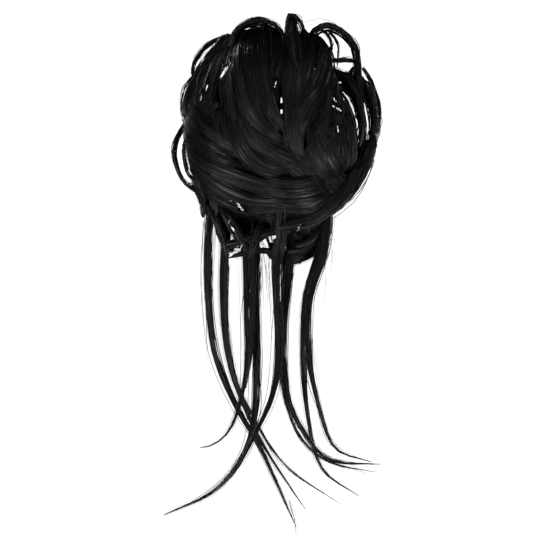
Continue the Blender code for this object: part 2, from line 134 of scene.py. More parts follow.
CENTRE_LOCKS = [
    Lock("centre_1", (-0.32, 0.98), (-0.40, 0.64), (-0.40, 0.28), (-0.26, -0.10), (0.10, -0.36),
         lift=1.33, width=0.88, depth=1.00),
    Lock("centre_2", (-0.18, 0.98), (-0.22, 0.64), (-0.20, 0.28), (-0.06, -0.04), (0.18, -0.22),
         lift=0.89, width=0.94, depth=1.00),
    Lock("centre_3", (-0.02, 0.94), (-0.05, 0.72), (-0.10, 0.42), (0.00, 0.10), (0.14, -0.16),
         lift=0.22, width=0.81, depth=0.93),
    Lock("centre_4", (0.14, 1.00), (0.18, 0.78), (0.13, 0.52), (0.12, 0.12), (0.24, -0.40),
         lift=1.33, width=0.75, depth=1.00),
    Lock("centre_5", (0.26, 0.98), (0.34, 0.74), (0.41, 0.42), (0.43, 0.06), (0.50, -0.36),
         lift=0.89, width=1.06, depth=1.00),
    Lock("drape_1", (-0.44, 0.98), (-0.45, 0.62), (-0.40, 0.24), (-0.22, -0.07), (0.13, -0.24),
         lift=1.1, width=0.70, depth=0.9),
    Lock("drape_2", (-0.34, 0.98), (-0.35, 0.66), (-0.32, 0.31), (-0.18, 0.04), (0.08, -0.15),
         lift=2.1, width=0.75, depth=0.9),
    Lock("drape_3", (-0.22, 1.00), (-0.21, 0.74), (-0.17, 0.48), (-0.10, 0.21), (0.04, -0.05),
         lift=1.9, width=0.60, depth=0.9),
    Lock("drape_4", (-0.28, 0.98), (-0.28, 0.72), (-0.26, 0.45), (-0.18, 0.18), (-0.01, -0.07),
         lift=2.2, width=0.45, depth=0.8),
    Lock("arc_1", (-0.47, 0.28), (-0.45, 0.04), (-0.35, -0.21), (-0.16, -0.37), (0.13, -0.43),
         lift=2.3, width=0.32, depth=0.6),
    Lock("arc_2", (-0.44, 0.30), (-0.41, 0.05), (-0.31, -0.18), (-0.13, -0.32), (0.13, -0.38),
         lift=2.4, width=0.28, depth=0.6),
    Lock("fan_1", (-0.42, 0.38), (-0.35, 0.11), (-0.22, -0.10), (-0.01, -0.24), (0.25, -0.29),
         lift=2.0, width=0.55, depth=0.8),
    Lock("fan_2", (-0.39, 0.28), (-0.28, 0.00), (-0.11, -0.19), (0.09, -0.29), (0.30, -0.32),
         lift=1.9, width=0.55, depth=0.8),
    Lock("eye_left", (-0.06, 0.62), (-0.12, 0.40), (-0.10, 0.23), (-0.01, 0.11), (0.13, 0.00),
         lift=1.7, width=0.35, depth=0.7),
    Lock("shade_1", (-0.11, 0.97), (-0.09, 0.81), (-0.08, 0.66), (-0.06, 0.54), (-0.04, 0.42),
         lift=-0.4, width=0.70, depth=0.8),
    Lock("shade_2", (-0.01, 0.97), (0.01, 0.81), (0.02, 0.66), (0.02, 0.54), (0.03, 0.42),
         lift=-0.6, width=0.60, depth=0.8),
    Lock("point_1", (0.11, 0.96), (0.10, 0.60), (0.08, 0.26), (0.11, -0.06), (0.20, -0.44),
         lift=1.9, width=0.50, depth=0.9),
    Lock("point_2", (0.18, 0.96), (0.16, 0.65), (0.14, 0.33), (0.13, 0.00), (0.25, -0.42),
         lift=2.1, width=0.50, depth=0.9),
    Lock("turn_1", (0.25, 0.98), (0.27, 0.76), (0.23, 0.54), (0.17, 0.31), (0.13, 0.07), lift=2.4,
         width=0.60, depth=0.9),
    Lock("turn_2", (0.30, 0.96), (0.34, 0.74), (0.31, 0.52), (0.21, 0.28), (0.13, 0.00), lift=2.3,
         width=0.55, depth=0.9),
    Lock("turn_3", (0.35, 0.96), (0.42, 0.74), (0.40, 0.50), (0.30, 0.24), (0.18, -0.03), lift=2.0,
         width=0.50, depth=0.9),
]
RIGHT_LOCKS = [
    Lock("crossing", (0.52, 0.56), (0.40, 0.40), (0.26, 0.20), (0.12, -0.06), (0.06, -0.34),
         lift=1.56, width=0.75, depth=0.89),
    Lock("middle", (0.30, 0.10), (0.26, -0.06), (0.32, -0.28), (0.48, -0.48), (0.66, -0.60),
         lift=0.67, width=1.12, depth=1.00),
    Lock("right_1", (0.44, 0.62), (0.52, 0.40), (0.57, 0.10), (0.59, -0.20), (0.54, -0.50),
         lift=0.67, width=0.70, depth=1.00),
    Lock("lower_right", (0.94, -0.18), (0.84, -0.46), (0.66, -0.72), (0.44, -0.88), (0.18, -0.94),
         lift=0.22, width=1.00, depth=1.00),
    Lock("cross_1", (0.47, 0.59), (0.36, 0.42), (0.26, 0.28), (0.17, 0.14), (0.11, -0.03),
         lift=2.6, width=0.35, depth=0.7),
    Lock("cross_2", (0.44, 0.50), (0.35, 0.33), (0.26, 0.21), (0.20, 0.09), (0.13, -0.12),
         lift=2.5, width=0.35, depth=0.7),
    Lock("bow_1", (0.36, 0.76), (0.48, 0.50), (0.44, 0.14), (0.33, -0.13), (0.18, -0.32), lift=2.0,
         width=0.65, depth=0.9),
    Lock("bow_2", (0.44, 0.69), (0.49, 0.42), (0.47, 0.11), (0.38, -0.15), (0.26, -0.37), lift=1.7,
         width=0.60, depth=0.9),
    Lock("knot_1", (0.37, 0.21), (0.39, 0.04), (0.44, -0.15), (0.52, -0.32), (0.62, -0.49),
         lift=2.0, width=0.60, depth=0.9),
    Lock("knot_2", (0.30, 0.14), (0.31, -0.03), (0.36, -0.22), (0.45, -0.37), (0.57, -0.51),
         lift=1.9, width=0.60, depth=0.9),
    Lock("knot_3", (0.47, 0.28), (0.49, 0.09), (0.53, -0.10), (0.59, -0.29), (0.66, -0.46),
         lift=1.3, width=0.55, depth=0.8),
    Lock("flank_2", (0.50, 0.50), (0.60, 0.36), (0.65, 0.14), (0.69, -0.10), (0.66, -0.41),
         lift=0.9, width=0.45, depth=0.8),
    Lock("flank_4", (0.57, 0.21), (0.64, 0.04), (0.69, -0.15), (0.69, -0.32), (0.62, -0.51),
         lift=0.8, width=0.50, depth=0.8),
]
SWEEP_LOCKS = [
    Lock("inner_fill_1", (-0.02, 0.00), (0.08, -0.18), (0.20, -0.34), (0.34, -0.46), (0.52, -0.56),
         lift=0.90, width=1.10, depth=1.00),
    Lock("inner_fill_2", (0.20, -0.10), (0.26, -0.24), (0.36, -0.38), (0.48, -0.48), (0.62, -0.54),
         lift=0.90, width=0.90, depth=1.00),
    Lock("sweep_1", (-0.96, 0.12), (-0.78, -0.18), (-0.46, -0.42), (-0.06, -0.58), (0.40, -0.56),
         lift=1.11, width=1.00, depth=1.11),
    Lock("sweep_2", (-0.94, -0.08), (-0.76, -0.38), (-0.40, -0.62), (0.02, -0.74), (0.46, -0.66),
         lift=0.89, width=1.00, depth=1.11),
    Lock("sweep_3", (-0.90, -0.36), (-0.76, -0.62), (-0.46, -0.82), (-0.12, -0.94), (0.22, -0.92),
         lift=0.44, width=0.94, depth=1.00),
    Lock("sweep_4", (0.74, -0.50), (0.60, -0.74), (0.36, -0.88), (0.12, -0.96), (-0.20, -0.98),
         lift=1.33, width=0.75, depth=0.89),
    Lock("bottom_left", (-0.86, -0.62), (-0.78, -0.84), (-0.56, -0.94), (-0.32, -1.02),
         (-0.04, -1.04), lift=-0.22, width=0.88, depth=1.00),
    Lock("band_1", (-1.01, 0.14), (-0.92, 0.01), (-0.78, -0.10), (-0.61, -0.18), (-0.39, -0.28),
         lift=1.3, width=0.50, depth=0.8),
    Lock("band_2", (-0.99, 0.00), (-0.87, -0.15), (-0.68, -0.26), (-0.46, -0.35), (-0.18, -0.43),
         lift=1.6, width=0.65, depth=0.9),
    Lock("band_3", (-0.93, -0.14), (-0.66, -0.32), (-0.34, -0.45), (0.02, -0.55), (0.40, -0.55),
         lift=2.1, width=0.55, depth=0.9),
    Lock("band_4", (-0.91, -0.28), (-0.70, -0.45), (-0.46, -0.58), (-0.18, -0.66), (0.16, -0.70),
         lift=2.0, width=0.60, depth=0.9),
    Lock("band_5", (-0.92, -0.34), (-0.80, -0.54), (-0.58, -0.66), (-0.30, -0.76), (-0.01, -0.80),
         lift=1.7, width=0.60, depth=0.9),
    Lock("band_6", (-0.90, -0.51), (-0.75, -0.68), (-0.56, -0.78), (-0.35, -0.91), (-0.11, -1.00),
         lift=1.5, width=0.50, depth=0.8),
    Lock("band_7", (-0.84, -0.67), (-0.68, -0.80), (-0.51, -0.89), (-0.32, -0.95), (-0.15, -1.01),
         lift=1.0, width=0.50, depth=0.8),
    Lock("band_8", (-0.39, -0.43), (-0.15, -0.49), (0.11, -0.51), (0.33, -0.48), (0.57, -0.41),
         lift=2.0, width=0.50, depth=0.8),
    Lock("band_9", (-0.28, -0.61), (-0.04, -0.64), (0.20, -0.63), (0.40, -0.58), (0.61, -0.48),
         lift=1.7, width=0.60, depth=0.9),
    Lock("band_10", (-0.15, -0.73), (0.09, -0.75), (0.30, -0.72), (0.49, -0.63), (0.66, -0.51),
         lift=1.4, width=0.60, depth=0.9),
    Lock("under_edge", (0.97, -0.08), (0.86, -0.36), (0.69, -0.59), (0.50, -0.79), (0.30, -0.92),
         lift=0.6, width=0.60, depth=0.9),
    Lock("under_fill", (-0.15, -0.87), (0.06, -0.89), (0.26, -0.84), (0.44, -0.73), (0.61, -0.60),
         lift=1.0, width=0.60, depth=0.9),
    Lock("nape_edge", (-0.73, -0.75), (-0.56, -0.91), (-0.34, -1.01), (-0.08, -1.04),
         (0.16, -1.01), lift=0.2, width=0.60, depth=0.9),
]

DOME_GROUPS = {
    "crown_locks": CROWN_LOCKS,
    "centre_locks": CENTRE_LOCKS,
    "right_locks": RIGHT_LOCKS,
    "sweep_locks": SWEEP_LOCKS,
}

# Locks at the rim, the nape and round the loops. Stations are (across, up) as a lock's. Forward is
# how far a lock stands in front of the rim plane, as a share of the front rise, and end_forward how
# far its end does, where that differs. Width, from front to back, and depth, in the front view, are
# shares of the half sizes of loops.
RimLock = namedtuple(
    "RimLock", "name start rise crest fall end forward width depth end_forward", defaults=(None,)
)
RIM_LOCKS = [
    RimLock("right_edge_thin", (0.844, 0.659), (0.937, 0.494), (0.995, 0.330), (1.013, 0.165),
            (0.984, -0.062), forward=-0.15, width=0.55, depth=0.38),
    RimLock("right_edge", (0.834, 0.556), (0.911, 0.391), (0.943, 0.216), (0.947, 0.041),
            (0.875, -0.196), forward=-0.05, width=1.25, depth=1.18),
    RimLock("right_band", (0.649, 0.597), (0.772, 0.412), (0.819, 0.227), (0.844, 0.051),
            (0.803, -0.206), forward=0.10, width=1.20, depth=1.42),
    RimLock("right_thread", (0.582, 0.474), (0.676, 0.340), (0.723, 0.216), (0.758, 0.103),
            (0.783, -0.103), forward=0.25, end_forward=0.15, width=0.60, depth=0.45),
    RimLock("right_inner_1", (0.484, 0.597), (0.577, 0.412), (0.633, 0.227), (0.669, 0.041),
            (0.680, -0.206), forward=0.35, end_forward=0.25, width=1.10, depth=1.15),
    RimLock("right_inner_2", (0.381, 0.680), (0.484, 0.453), (0.536, 0.227), (0.566, 0.000),
            (0.566, -0.247), forward=0.50, width=1.10, depth=1.25),
    RimLock("right_seat", (0.484, 0.659), (0.597, 0.597), (0.711, 0.536), (0.793, 0.443),
            (0.855, 0.309), forward=-0.10, width=1.00, depth=1.15),
    RimLock("right_seat_low", (0.505, 0.536), (0.618, 0.494), (0.711, 0.433), (0.772, 0.330),
            (0.824, 0.185), forward=-0.20, width=1.00, depth=1.20),
    RimLock("lower_edge", (0.855, -0.082), (0.788, -0.319), (0.690, -0.536), (0.566, -0.700),
            (0.402, -0.824), forward=0.00, end_forward=0.05, width=1.30, depth=1.40),
    RimLock("lower_edge_inner", (0.731, -0.062), (0.711, -0.268), (0.639, -0.453), (0.536, -0.597),
            (0.381, -0.742), forward=0.20, width=1.20, depth=1.70),
    RimLock("loop_cross", (0.474, 0.721), (0.566, 0.731), (0.649, 0.735), (0.721, 0.733),
            (0.793, 0.721), forward=0.10, width=0.45, depth=0.46),
    RimLock("loop_strand_1", (0.412, 1.061), (0.479, 0.999), (0.518, 0.917), (0.511, 0.803),
            (0.474, 0.659), forward=0.15, end_forward=0.25, width=0.45, depth=0.25),
    RimLock("loop_strand_2", (0.494, 1.030), (0.556, 0.968), (0.590, 0.886), (0.593, 0.793),
            (0.577, 0.659), forward=0.12, width=0.25, depth=0.18),
    RimLock("loop_strand_3", (0.649, 1.009), (0.731, 0.906), (0.762, 0.803), (0.768, 0.700),
            (0.752, 0.536), forward=0.05, width=0.35, depth=0.34),
    RimLock("loop_base", (0.237, 1.030), (0.283, 0.927), (0.330, 0.824), (0.381, 0.721),
            (0.412, 0.536), forward=0.20, end_forward=0.45, width=1.10, depth=1.00),
    RimLock("loop_base_inner", (0.196, 0.968), (0.237, 0.844), (0.288, 0.721), (0.330, 0.597),
            (0.360, 0.412), forward=0.40, end_forward=0.65, width=1.10, depth=1.20),
    RimLock("peak_body", (0.165, 0.577), (0.139, 0.783), (0.122, 0.958), (0.111, 1.081),
            (0.098, 1.179), forward=1.00, end_forward=0.40, width=0.60, depth=1.15),
    RimLock("peak_back", (0.031, 0.742), (0.051, 0.886), (0.067, 0.989), (0.077, 1.071),
            (0.093, 1.133), forward=0.40, width=0.70, depth=0.75),
    RimLock("arch_fill_1", (-0.505, 0.906), (-0.391, 0.994), (-0.247, 1.004), (-0.093, 0.999),
            (0.062, 0.927), forward=-0.25, end_forward=-0.20, width=1.30, depth=1.00),
    RimLock("arch_fill_2", (-0.546, 0.783), (-0.412, 0.906), (-0.247, 0.927), (-0.082, 0.917),
            (0.093, 0.824), forward=-0.25, end_forward=-0.20, width=1.20, depth=1.30),
    RimLock("arch_hair_1", (-0.494, 0.989), (-0.371, 1.071), (-0.247, 1.098), (-0.124, 1.081),
            (0.031, 0.999), forward=0.05, end_forward=0.10, width=0.30, depth=0.17),
    RimLock("arch_hair_2", (-0.463, 0.927), (-0.350, 1.040), (-0.227, 1.067), (-0.103, 1.050),
            (0.051, 0.947), forward=0.10, width=0.30, depth=0.15),
    RimLock("arch_hair_3", (-0.196, 0.886), (-0.196, 0.968), (-0.185, 1.050), (-0.165, 1.112),
            (-0.113, 1.153), forward=0.08, width=0.40, depth=0.30),
    RimLock("left_bulge", (-0.803, 0.639), (-0.917, 0.484), (-0.973, 0.330), (-0.978, 0.196),
            (-0.927, 0.072), forward=-0.05, width=1.10, depth=1.25),
    RimLock("lower_left", (-0.875, -0.288), (-0.844, -0.474), (-0.803, -0.628), (-0.788, -0.752),
            (-0.803, -0.865), forward=0.05, end_forward=0.10, width=1.10, depth=1.15),
    RimLock("lower_left_inner", (-0.793, -0.340), (-0.742, -0.515), (-0.690, -0.669),
            (-0.669, -0.783), (-0.690, -0.906), forward=0.20, end_forward=0.25, width=1.10,
            depth=1.30),
    RimLock("nape_right_3", (0.093, -0.824), (0.196, -0.917), (0.278, -1.020), (0.319, -1.102),
            (0.330, -1.174), forward=-0.10, width=1.20, depth=1.60),
    RimLock("left_bulge_inner", (-0.700, 0.700), (-0.803, 0.536), (-0.855, 0.371), (-0.865, 0.206),
            (-0.834, 0.041), forward=0.10, width=1.10, depth=1.50),
    RimLock("left_shoulder", (-0.484, 0.927), (-0.628, 0.850), (-0.752, 0.731), (-0.844, 0.587),
            (-0.906, 0.433), forward=-0.05, width=1.10, depth=1.15),
    RimLock("peak_front", (0.206, 0.700), (0.185, 0.844), (0.165, 0.968), (0.149, 1.081),
            (0.129, 1.179), forward=0.95, end_forward=0.46, width=0.50, depth=0.50),
]
NAPE_LOCKS = [
    RimLock("nape_fill_1", (-0.772, -0.742), (-0.566, -0.906), (-0.268, -1.009), (0.093, -1.009),
            (0.412, -0.834), forward=-0.05, width=1.30, depth=1.70),
    RimLock("nape_left", (-0.752, -0.762), (-0.659, -0.917), (-0.597, -1.071), (-0.566, -1.184),
            (-0.556, -1.287), forward=0.30, width=0.90, depth=0.95),
    RimLock("nape_left_inner", (-0.608, -0.783), (-0.525, -0.927), (-0.443, -1.071),
            (-0.391, -1.153), (-0.360, -1.236), forward=0.42, width=0.80, depth=1.10),
    RimLock("nape_tail_1", (0.093, -0.999), (-0.124, -1.025), (-0.309, -1.081), (-0.453, -1.138),
            (-0.618, -1.169), forward=0.30, end_forward=0.34, width=0.80, depth=1.15),
    RimLock("nape_tail_2", (0.175, -1.215), (-0.010, -1.236), (-0.237, -1.220), (-0.422, -1.256),
            (-0.566, -1.294), forward=0.28, end_forward=0.30, width=0.80, depth=0.70),
    RimLock("nape_middle", (-0.196, -0.947), (-0.237, -1.050), (-0.278, -1.143), (-0.299, -1.215),
            (-0.319, -1.298), forward=0.44, width=0.70, depth=1.00),
    RimLock("nape_right_1", (0.433, -0.865), (0.391, -1.050), (0.268, -1.184), (0.093, -1.246),
            (-0.093, -1.226), forward=-0.15, width=1.20, depth=1.00),
    RimLock("nape_right_2", (-0.072, -0.865), (0.041, -0.958), (0.144, -1.071), (0.206, -1.164),
            (0.227, -1.236), forward=-0.05, width=1.20, depth=1.70),
    RimLock("trunk_left", (-0.015, -0.577), (-0.015, -0.742), (-0.021, -0.896), (-0.036, -1.050),
            (-0.057, -1.277), forward=0.66, end_forward=0.42, width=0.40, depth=0.75),
    RimLock("trunk_right", (0.041, -0.597), (0.046, -0.752), (0.041, -0.896), (0.031, -1.040),
            (0.015, -1.277), forward=0.64, end_forward=0.42, width=0.35, depth=0.62),
    RimLock("trunk_middle", (-0.288, -0.927), (-0.291, -1.370), (-0.291, -1.782), (-0.304, -2.194),
            (-0.366, -2.636), forward=0.38, end_forward=0.42, width=0.35, depth=0.62),
    RimLock("under_right", (0.783, -0.391), (0.664, -0.608), (0.484, -0.793), (0.257, -0.932),
            (-0.051, -0.999), forward=0.62, end_forward=0.60, width=0.26, depth=1.50),
    RimLock("nape_right_fill_1", (-0.134, -1.123), (0.031, -1.164), (0.196, -1.169),
            (0.330, -1.102), (0.422, -0.958), forward=-0.05, width=1.10, depth=1.75),
    RimLock("nape_right_fill_2", (-0.196, -0.968), (-0.010, -1.009), (0.175, -1.030),
            (0.319, -0.989), (0.443, -0.875), forward=-0.10, width=1.10, depth=1.75),
]

# Single hairs that fly clear, each a chain of (across, up) as a lock's, its distance in front of
# the band as a share of the bun's front, how many hairs run together, and their spread in metres.
Flyaway = namedtuple("Flyaway", "start middle end forward hairs spread")
FLYAWAYS = [
    Flyaway((0.24, 1.13), (0.46, 1.17), (0.68, 1.04), forward=0.50, hairs=3, spread=0.0012),
    Flyaway((0.30, 1.10), (0.50, 1.14), (0.74, 0.98), forward=0.40, hairs=2, spread=0.0010),
    Flyaway((0.46, -0.84), (0.60, -1.20), (0.78, -1.62), forward=0.40, hairs=3, spread=0.0016),
    Flyaway((0.50, -0.80), (0.62, -1.02), (0.74, -1.16), forward=0.35, hairs=3, spread=0.0016),
    Flyaway((0.46, -0.88), (0.52, -1.30), (0.44, -1.90), forward=0.45, hairs=6, spread=0.0030),
    Flyaway((0.48, -0.88), (0.55, -1.24), (0.50, -1.64), forward=0.50, hairs=5, spread=0.0030),
    Flyaway((0.42, -1.00), (0.44, -1.60), (0.38, -2.20), forward=0.45, hairs=4, spread=0.0030),
    Flyaway((0.94, 0.40), (1.04, 0.14), (1.00, -0.12), forward=0.35, hairs=4, spread=0.0016),
    Flyaway((0.84, -0.30), (0.78, -0.52), (0.62, -0.80), forward=0.45, hairs=2, spread=0.0020),
    Flyaway((-0.20, -1.18), (-0.16, -1.60), (-0.14, -2.20), forward=0.50, hairs=14, spread=0.0036),
    Flyaway((-0.12, -1.16), (-0.14, -1.50), (-0.10, -1.80), forward=0.60, hairs=12, spread=0.0026),
    Flyaway((-0.46, -1.20), (-0.44, -1.60), (-0.40, -2.10), forward=0.50, hairs=5, spread=0.0022),
    Flyaway((-0.80, -0.92), (-0.82, -1.60), (-0.74, -2.50), forward=0.37, hairs=9, spread=0.0005),
    Flyaway((-0.70, -0.86), (-0.66, -1.10), (-0.68, -1.40), forward=0.40, hairs=4, spread=0.0012),
    Flyaway((-0.60, 0.98), (-0.82, 0.88), (-0.98, 0.62), forward=0.35, hairs=5, spread=0.0016),
    Flyaway((-0.50, 1.04), (-0.26, 1.18), (0.00, 1.10), forward=0.45, hairs=2, spread=0.0010),
    Flyaway((0.60, 1.02), (0.84, 0.86), (0.90, 0.58), forward=0.40, hairs=5, spread=0.0018),
    Flyaway((-0.04, -2.20), (0.02, -2.60), (0.14, -2.96), forward=0.55, hairs=5, spread=0.0024),
    Flyaway((0.28, -1.90), (0.36, -2.40), (0.42, -2.90), forward=0.48, hairs=5, spread=0.0014),
    Flyaway((0.09, -3.79), (0.16, -4.00), (0.18, -4.16), forward=0.14, hairs=10, spread=0.0022),
    Flyaway((0.50, -3.36), (0.76, -3.42), (1.03, -3.40), forward=0.72, hairs=7, spread=0.0012),
    Flyaway((0.50, -3.40), (0.74, -3.46), (0.96, -3.52), forward=0.49, hairs=6, spread=0.0012),
]

# Back locks run from the band over the back and round the rim. Reach is the share of the way from
# the hollow's wall to the core's edge, and forward that from the back face to the core's front.
BackStation = namedtuple("BackStation", "reach forward")
BACK_LOCK_STATIONS = [
    BackStation(reach=0.16, forward=0.04),
    BackStation(reach=0.62, forward=0.00),
    BackStation(reach=1.08, forward=0.20),
    BackStation(reach=1.20, forward=0.52),
    BackStation(reach=0.84, forward=0.80),
]
BACK_LOCKS = 22
BACK_LOCK_HALF_WIDTH = 0.0085
BACK_LOCK_HALF_DEPTH = 0.0036
BACK_LOCK_SWIRL = math.radians(24.0)

# At the right side, where the photograph shows light between the locks, the back locks end short
SHORT_SIDE = (math.radians(-28.0), math.radians(62.0))
SHORT_REACH = 0.84

# Loops at the rim. Stations are as a lock's, forward is a share of the front rise, width and depth
# of the half sizes that loops share.
Loop = namedtuple("Loop", "name root rise crest fall end forward width depth")
LOOPS = [
    Loop("crown_loop_left", (-0.52, 0.84), (-0.44, 1.03), (-0.25, 1.135), (-0.04, 1.06),
         (0.10, 0.80), forward=0.10, width=1.10, depth=0.50),
    Loop("crown_loop_middle", (0.06, 0.74), (0.070, 1.02), (0.095, 1.15), (0.19, 1.08),
         (0.26, 0.86), forward=0.44, width=0.60, depth=0.42),
    Loop("crown_loop_right", (0.24, 0.76), (0.34, 1.00), (0.53, 1.055), (0.75, 0.86), (0.80, 0.46),
         forward=0.15, width=1.00, depth=0.75),
    Loop("side_loop_left_upper", (-0.44, 0.96), (-0.65, 0.96), (-0.82, 0.83), (-0.91, 0.64),
         (-0.84, 0.42), forward=-0.15, width=0.36, depth=0.30),
    Loop("side_loop_left_outer", (-0.88, 0.20), (-1.05, -0.04), (-1.09, -0.26), (-1.0, -0.50),
         (-0.76, -0.66), forward=-0.07, width=0.35, depth=0.50),
    Loop("side_loop_left_inner", (-0.86, 0.14), (-0.98, -0.10), (-0.98, -0.30), (-0.93, -0.46),
         (-0.72, -0.6), forward=0.15, width=0.28, depth=0.40),
    Loop("side_loop_right", (0.72, 0.66), (0.93, 0.42), (0.99, 0.14), (0.93, -0.12), (0.71, -0.42),
         forward=-0.27, width=1.00, depth=0.85),
    Loop("nape_curl_right", (0.44, -0.70), (0.45, -1.04), (0.26, -1.25), (-0.04, -1.27),
         (-0.24, -0.88), forward=-0.24, width=1.00, depth=1.33),
    Loop("nape_curl_middle", (0.30, -0.64), (0.30, -0.92), (0.17, -1.06), (0.02, -1.04),
         (-0.03, -0.70), forward=-0.24, width=1.12, depth=1.47),
    Loop("nape_curl_left", (-0.66, -0.60), (-0.62, -1.04), (-0.46, -1.22), (-0.38, -1.06),
         (-0.44, -0.70), forward=-0.22, width=0.88, depth=0.93),
]

# Stations of a tendril are (across, down), as shares of the bun's half width and of the tendril
# drop. Layer is its distance in front of the band and tip_forward what its tip comes forward
# beyond that, as shares of the bun's front; width and depth are shares of its half sizes.
Tendril = namedtuple(
    "Tendril", "name root collar thigh knee shin ankle foot tip layer tip_forward width depth"
)
TENDRILS = [
    Tendril("tendril_1", (-0.50, 0.10), (-0.69, 0.16), (-0.75, 0.26), (-0.74, 0.445),
            (-0.66, 0.57), (-0.45, 0.695), (-0.20, 0.80), (0.16, 0.998), layer=0.37,
            tip_forward=-0.24, width=1.04, depth=1.07),
    Tendril("tendril_2", (-0.42, 0.115), (-0.57, 0.18), (-0.59, 0.295), (-0.60, 0.445),
            (-0.535, 0.57), (-0.39, 0.68), (-0.18, 0.785), (0.25, 0.945), layer=0.44,
            tip_forward=-0.12, width=0.74, depth=0.93),
    Tendril("tendril_3", (-0.36, 0.12), (-0.51, 0.195), (-0.55, 0.32), (-0.56, 0.47),
            (-0.49, 0.60), (-0.31, 0.70), (0.04, 0.83), (0.62, 0.928), layer=0.50,
            tip_forward=0.00, width=0.40, depth=0.60),
    Tendril("tendril_4", (-0.34, 0.12), (-0.35, 0.22), (-0.35, 0.42), (-0.34, 0.545),
            (-0.39, 0.645), (-0.50, 0.73), (-0.66, 0.77), (-0.82, 0.78), layer=0.57,
            tip_forward=0.18, width=0.96, depth=1.07),
    Tendril("tendril_5", (-0.25, 0.12), (-0.26, 0.22), (-0.26, 0.42), (-0.25, 0.595),
            (-0.29, 0.735), (-0.44, 0.825), (-0.71, 0.893), (-1.18, 0.945), layer=0.58,
            tip_forward=0.15, width=1.20, depth=1.20),
    Tendril("tendril_6", (-0.12, 0.12), (-0.06, 0.22), (-0.05, 0.395), (-0.03, 0.53),
            (-0.08, 0.645), (-0.25, 0.74), (-0.42, 0.815), (-0.69, 0.888), layer=0.66,
            tip_forward=0.18, width=1.08, depth=1.07),
    Tendril("tendril_7", (0.02, 0.12), (0.03, 0.22), (0.03, 0.37), (-0.02, 0.545), (0.05, 0.67),
            (0.20, 0.763), (0.50, 0.823), (0.98, 0.848), layer=0.51, tip_forward=-0.03, width=0.56,
            depth=0.80),
    Tendril("tendril_8", (0.08, 0.12), (0.09, 0.22), (0.08, 0.345), (0.02, 0.52), (0.07, 0.66),
            (0.24, 0.748), (0.50, 0.812), (1.00, 0.820), layer=0.57, tip_forward=0.18, width=0.96,
            depth=0.93),
    Tendril("tendril_9", (0.30, 0.12), (0.42, 0.195), (0.39, 0.30), (0.25, 0.42), (0.23, 0.57),
            (0.28, 0.72), (0.43, 0.845), (0.81, 0.915), layer=0.43, tip_forward=-0.18, width=0.88,
            depth=0.93),
    Tendril("tendril_10", (0.36, 0.12), (0.47, 0.19), (0.44, 0.30), (0.29, 0.42), (0.29, 0.57),
            (0.40, 0.695), (0.56, 0.788), (0.92, 0.820), layer=0.49, tip_forward=0.06, width=0.96,
            depth=0.93),
]

# Narrow partings that show the ground behind: a path in the front view, as shares of the bun's half
# width, and the half width in metres. They run straight away from the camera and close at the ends.
Parting = namedtuple("Parting", "path half_width")
PARTINGS = [
    Parting(
        path=((0.005, 0.360), (0.000, 0.299), (0.005, 0.227), (0.010, 0.149)),
        half_width=0.00055,
    ),
    Parting(
        path=((-0.505, 0.711), (-0.546, 0.669), (-0.587, 0.618), (-0.628, 0.556)),
        half_width=0.00060,
    ),
    Parting(path=((-0.752, 0.484), (-0.793, 0.412), (-0.834, 0.319)), half_width=0.00065),
    Parting(path=((-0.747, 0.742), (-0.783, 0.680)), half_width=0.00055),
    Parting(
        path=((0.597, 0.402), (0.664, 0.309), (0.700, 0.206), (0.731, 0.113)),
        half_width=0.00028,
    ),
    Parting(
        path=((0.628, 0.422), (0.688, 0.352), (0.742, 0.227), (0.780, 0.113), (0.791, 0.000),
              (0.796, -0.124)),
        half_width=0.00030,
    ),
    Parting(
        path=((0.855, 0.309), (0.883, 0.170), (0.896, 0.055), (0.894, -0.103)),
        half_width=0.00030,
    ),
    Parting(path=((0.993, 0.319), (1.002, 0.227), (1.002, 0.134)), half_width=0.00030),
    Parting(path=((0.827, 0.628), (0.870, 0.556), (0.917, 0.453)), half_width=0.00055),
    Parting(path=((0.525, 0.371), (0.577, 0.299)), half_width=0.00032),
    Parting(path=((0.515, 0.278), (0.566, 0.247), (0.628, 0.216)), half_width=0.00035),
    Parting(path=((0.577, 0.082), (0.592, -0.021)), half_width=0.00040),
    Parting(path=((0.518, 0.113), (0.527, 0.041)), half_width=0.00025),
    Parting(path=((0.587, 0.507), (0.628, 0.507)), half_width=0.00040),
    Parting(path=((0.342, 0.664), (0.340, 0.618)), half_width=0.00050),
    Parting(path=((-0.072, 0.453), (-0.041, 0.536)), half_width=0.00022),
    Parting(path=((0.853, -0.309), (0.884, -0.227)), half_width=0.00035),
    Parting(path=((-0.453, -0.721), (-0.422, -0.772), (-0.381, -0.824)), half_width=0.00035),
    Parting(path=((0.202, -0.917), (0.171, -1.030)), half_width=0.00040),
    Parting(path=((0.045, -1.174), (0.056, -1.267)), half_width=0.00025),
    Parting(path=((-0.540, -0.886), (-0.529, -0.958)), half_width=0.00050),
    Parting(path=((-0.505, -0.968), (-0.484, -1.061)), half_width=0.00065),
    Parting(path=((-0.536, -1.287), (-0.463, -1.220), (-0.391, -1.164)), half_width=0.00060),
    Parting(path=((-0.206, -1.184), (-0.134, -1.123), (-0.051, -1.066)), half_width=0.00160),
]

# How far the locks' middle lines are drawn in at the rim, as a share of their own half depth
RIM_INSET = 0.80

# Hair nearer to a parting than so many of its half widths and so many metres is combed aside, but
# not at its ends, where it is narrower than this share. A few strands that cross one are left.
PARTING_ZONE_WIDTHS = 3.0
PARTING_ZONE = 0.0012
PARTING_LEAST = 0.2
CROSSING_SHARE = 0.08

# Share of the bun's half width past which a lock's end turns over the rim instead of tucking in
RIM_REACH = 0.88

# Stations that carry a lock round the rim: its share of the end's reach, and metres behind the rim
RIM_TURN = ((0.97, 0.008), (0.78, 0.014))

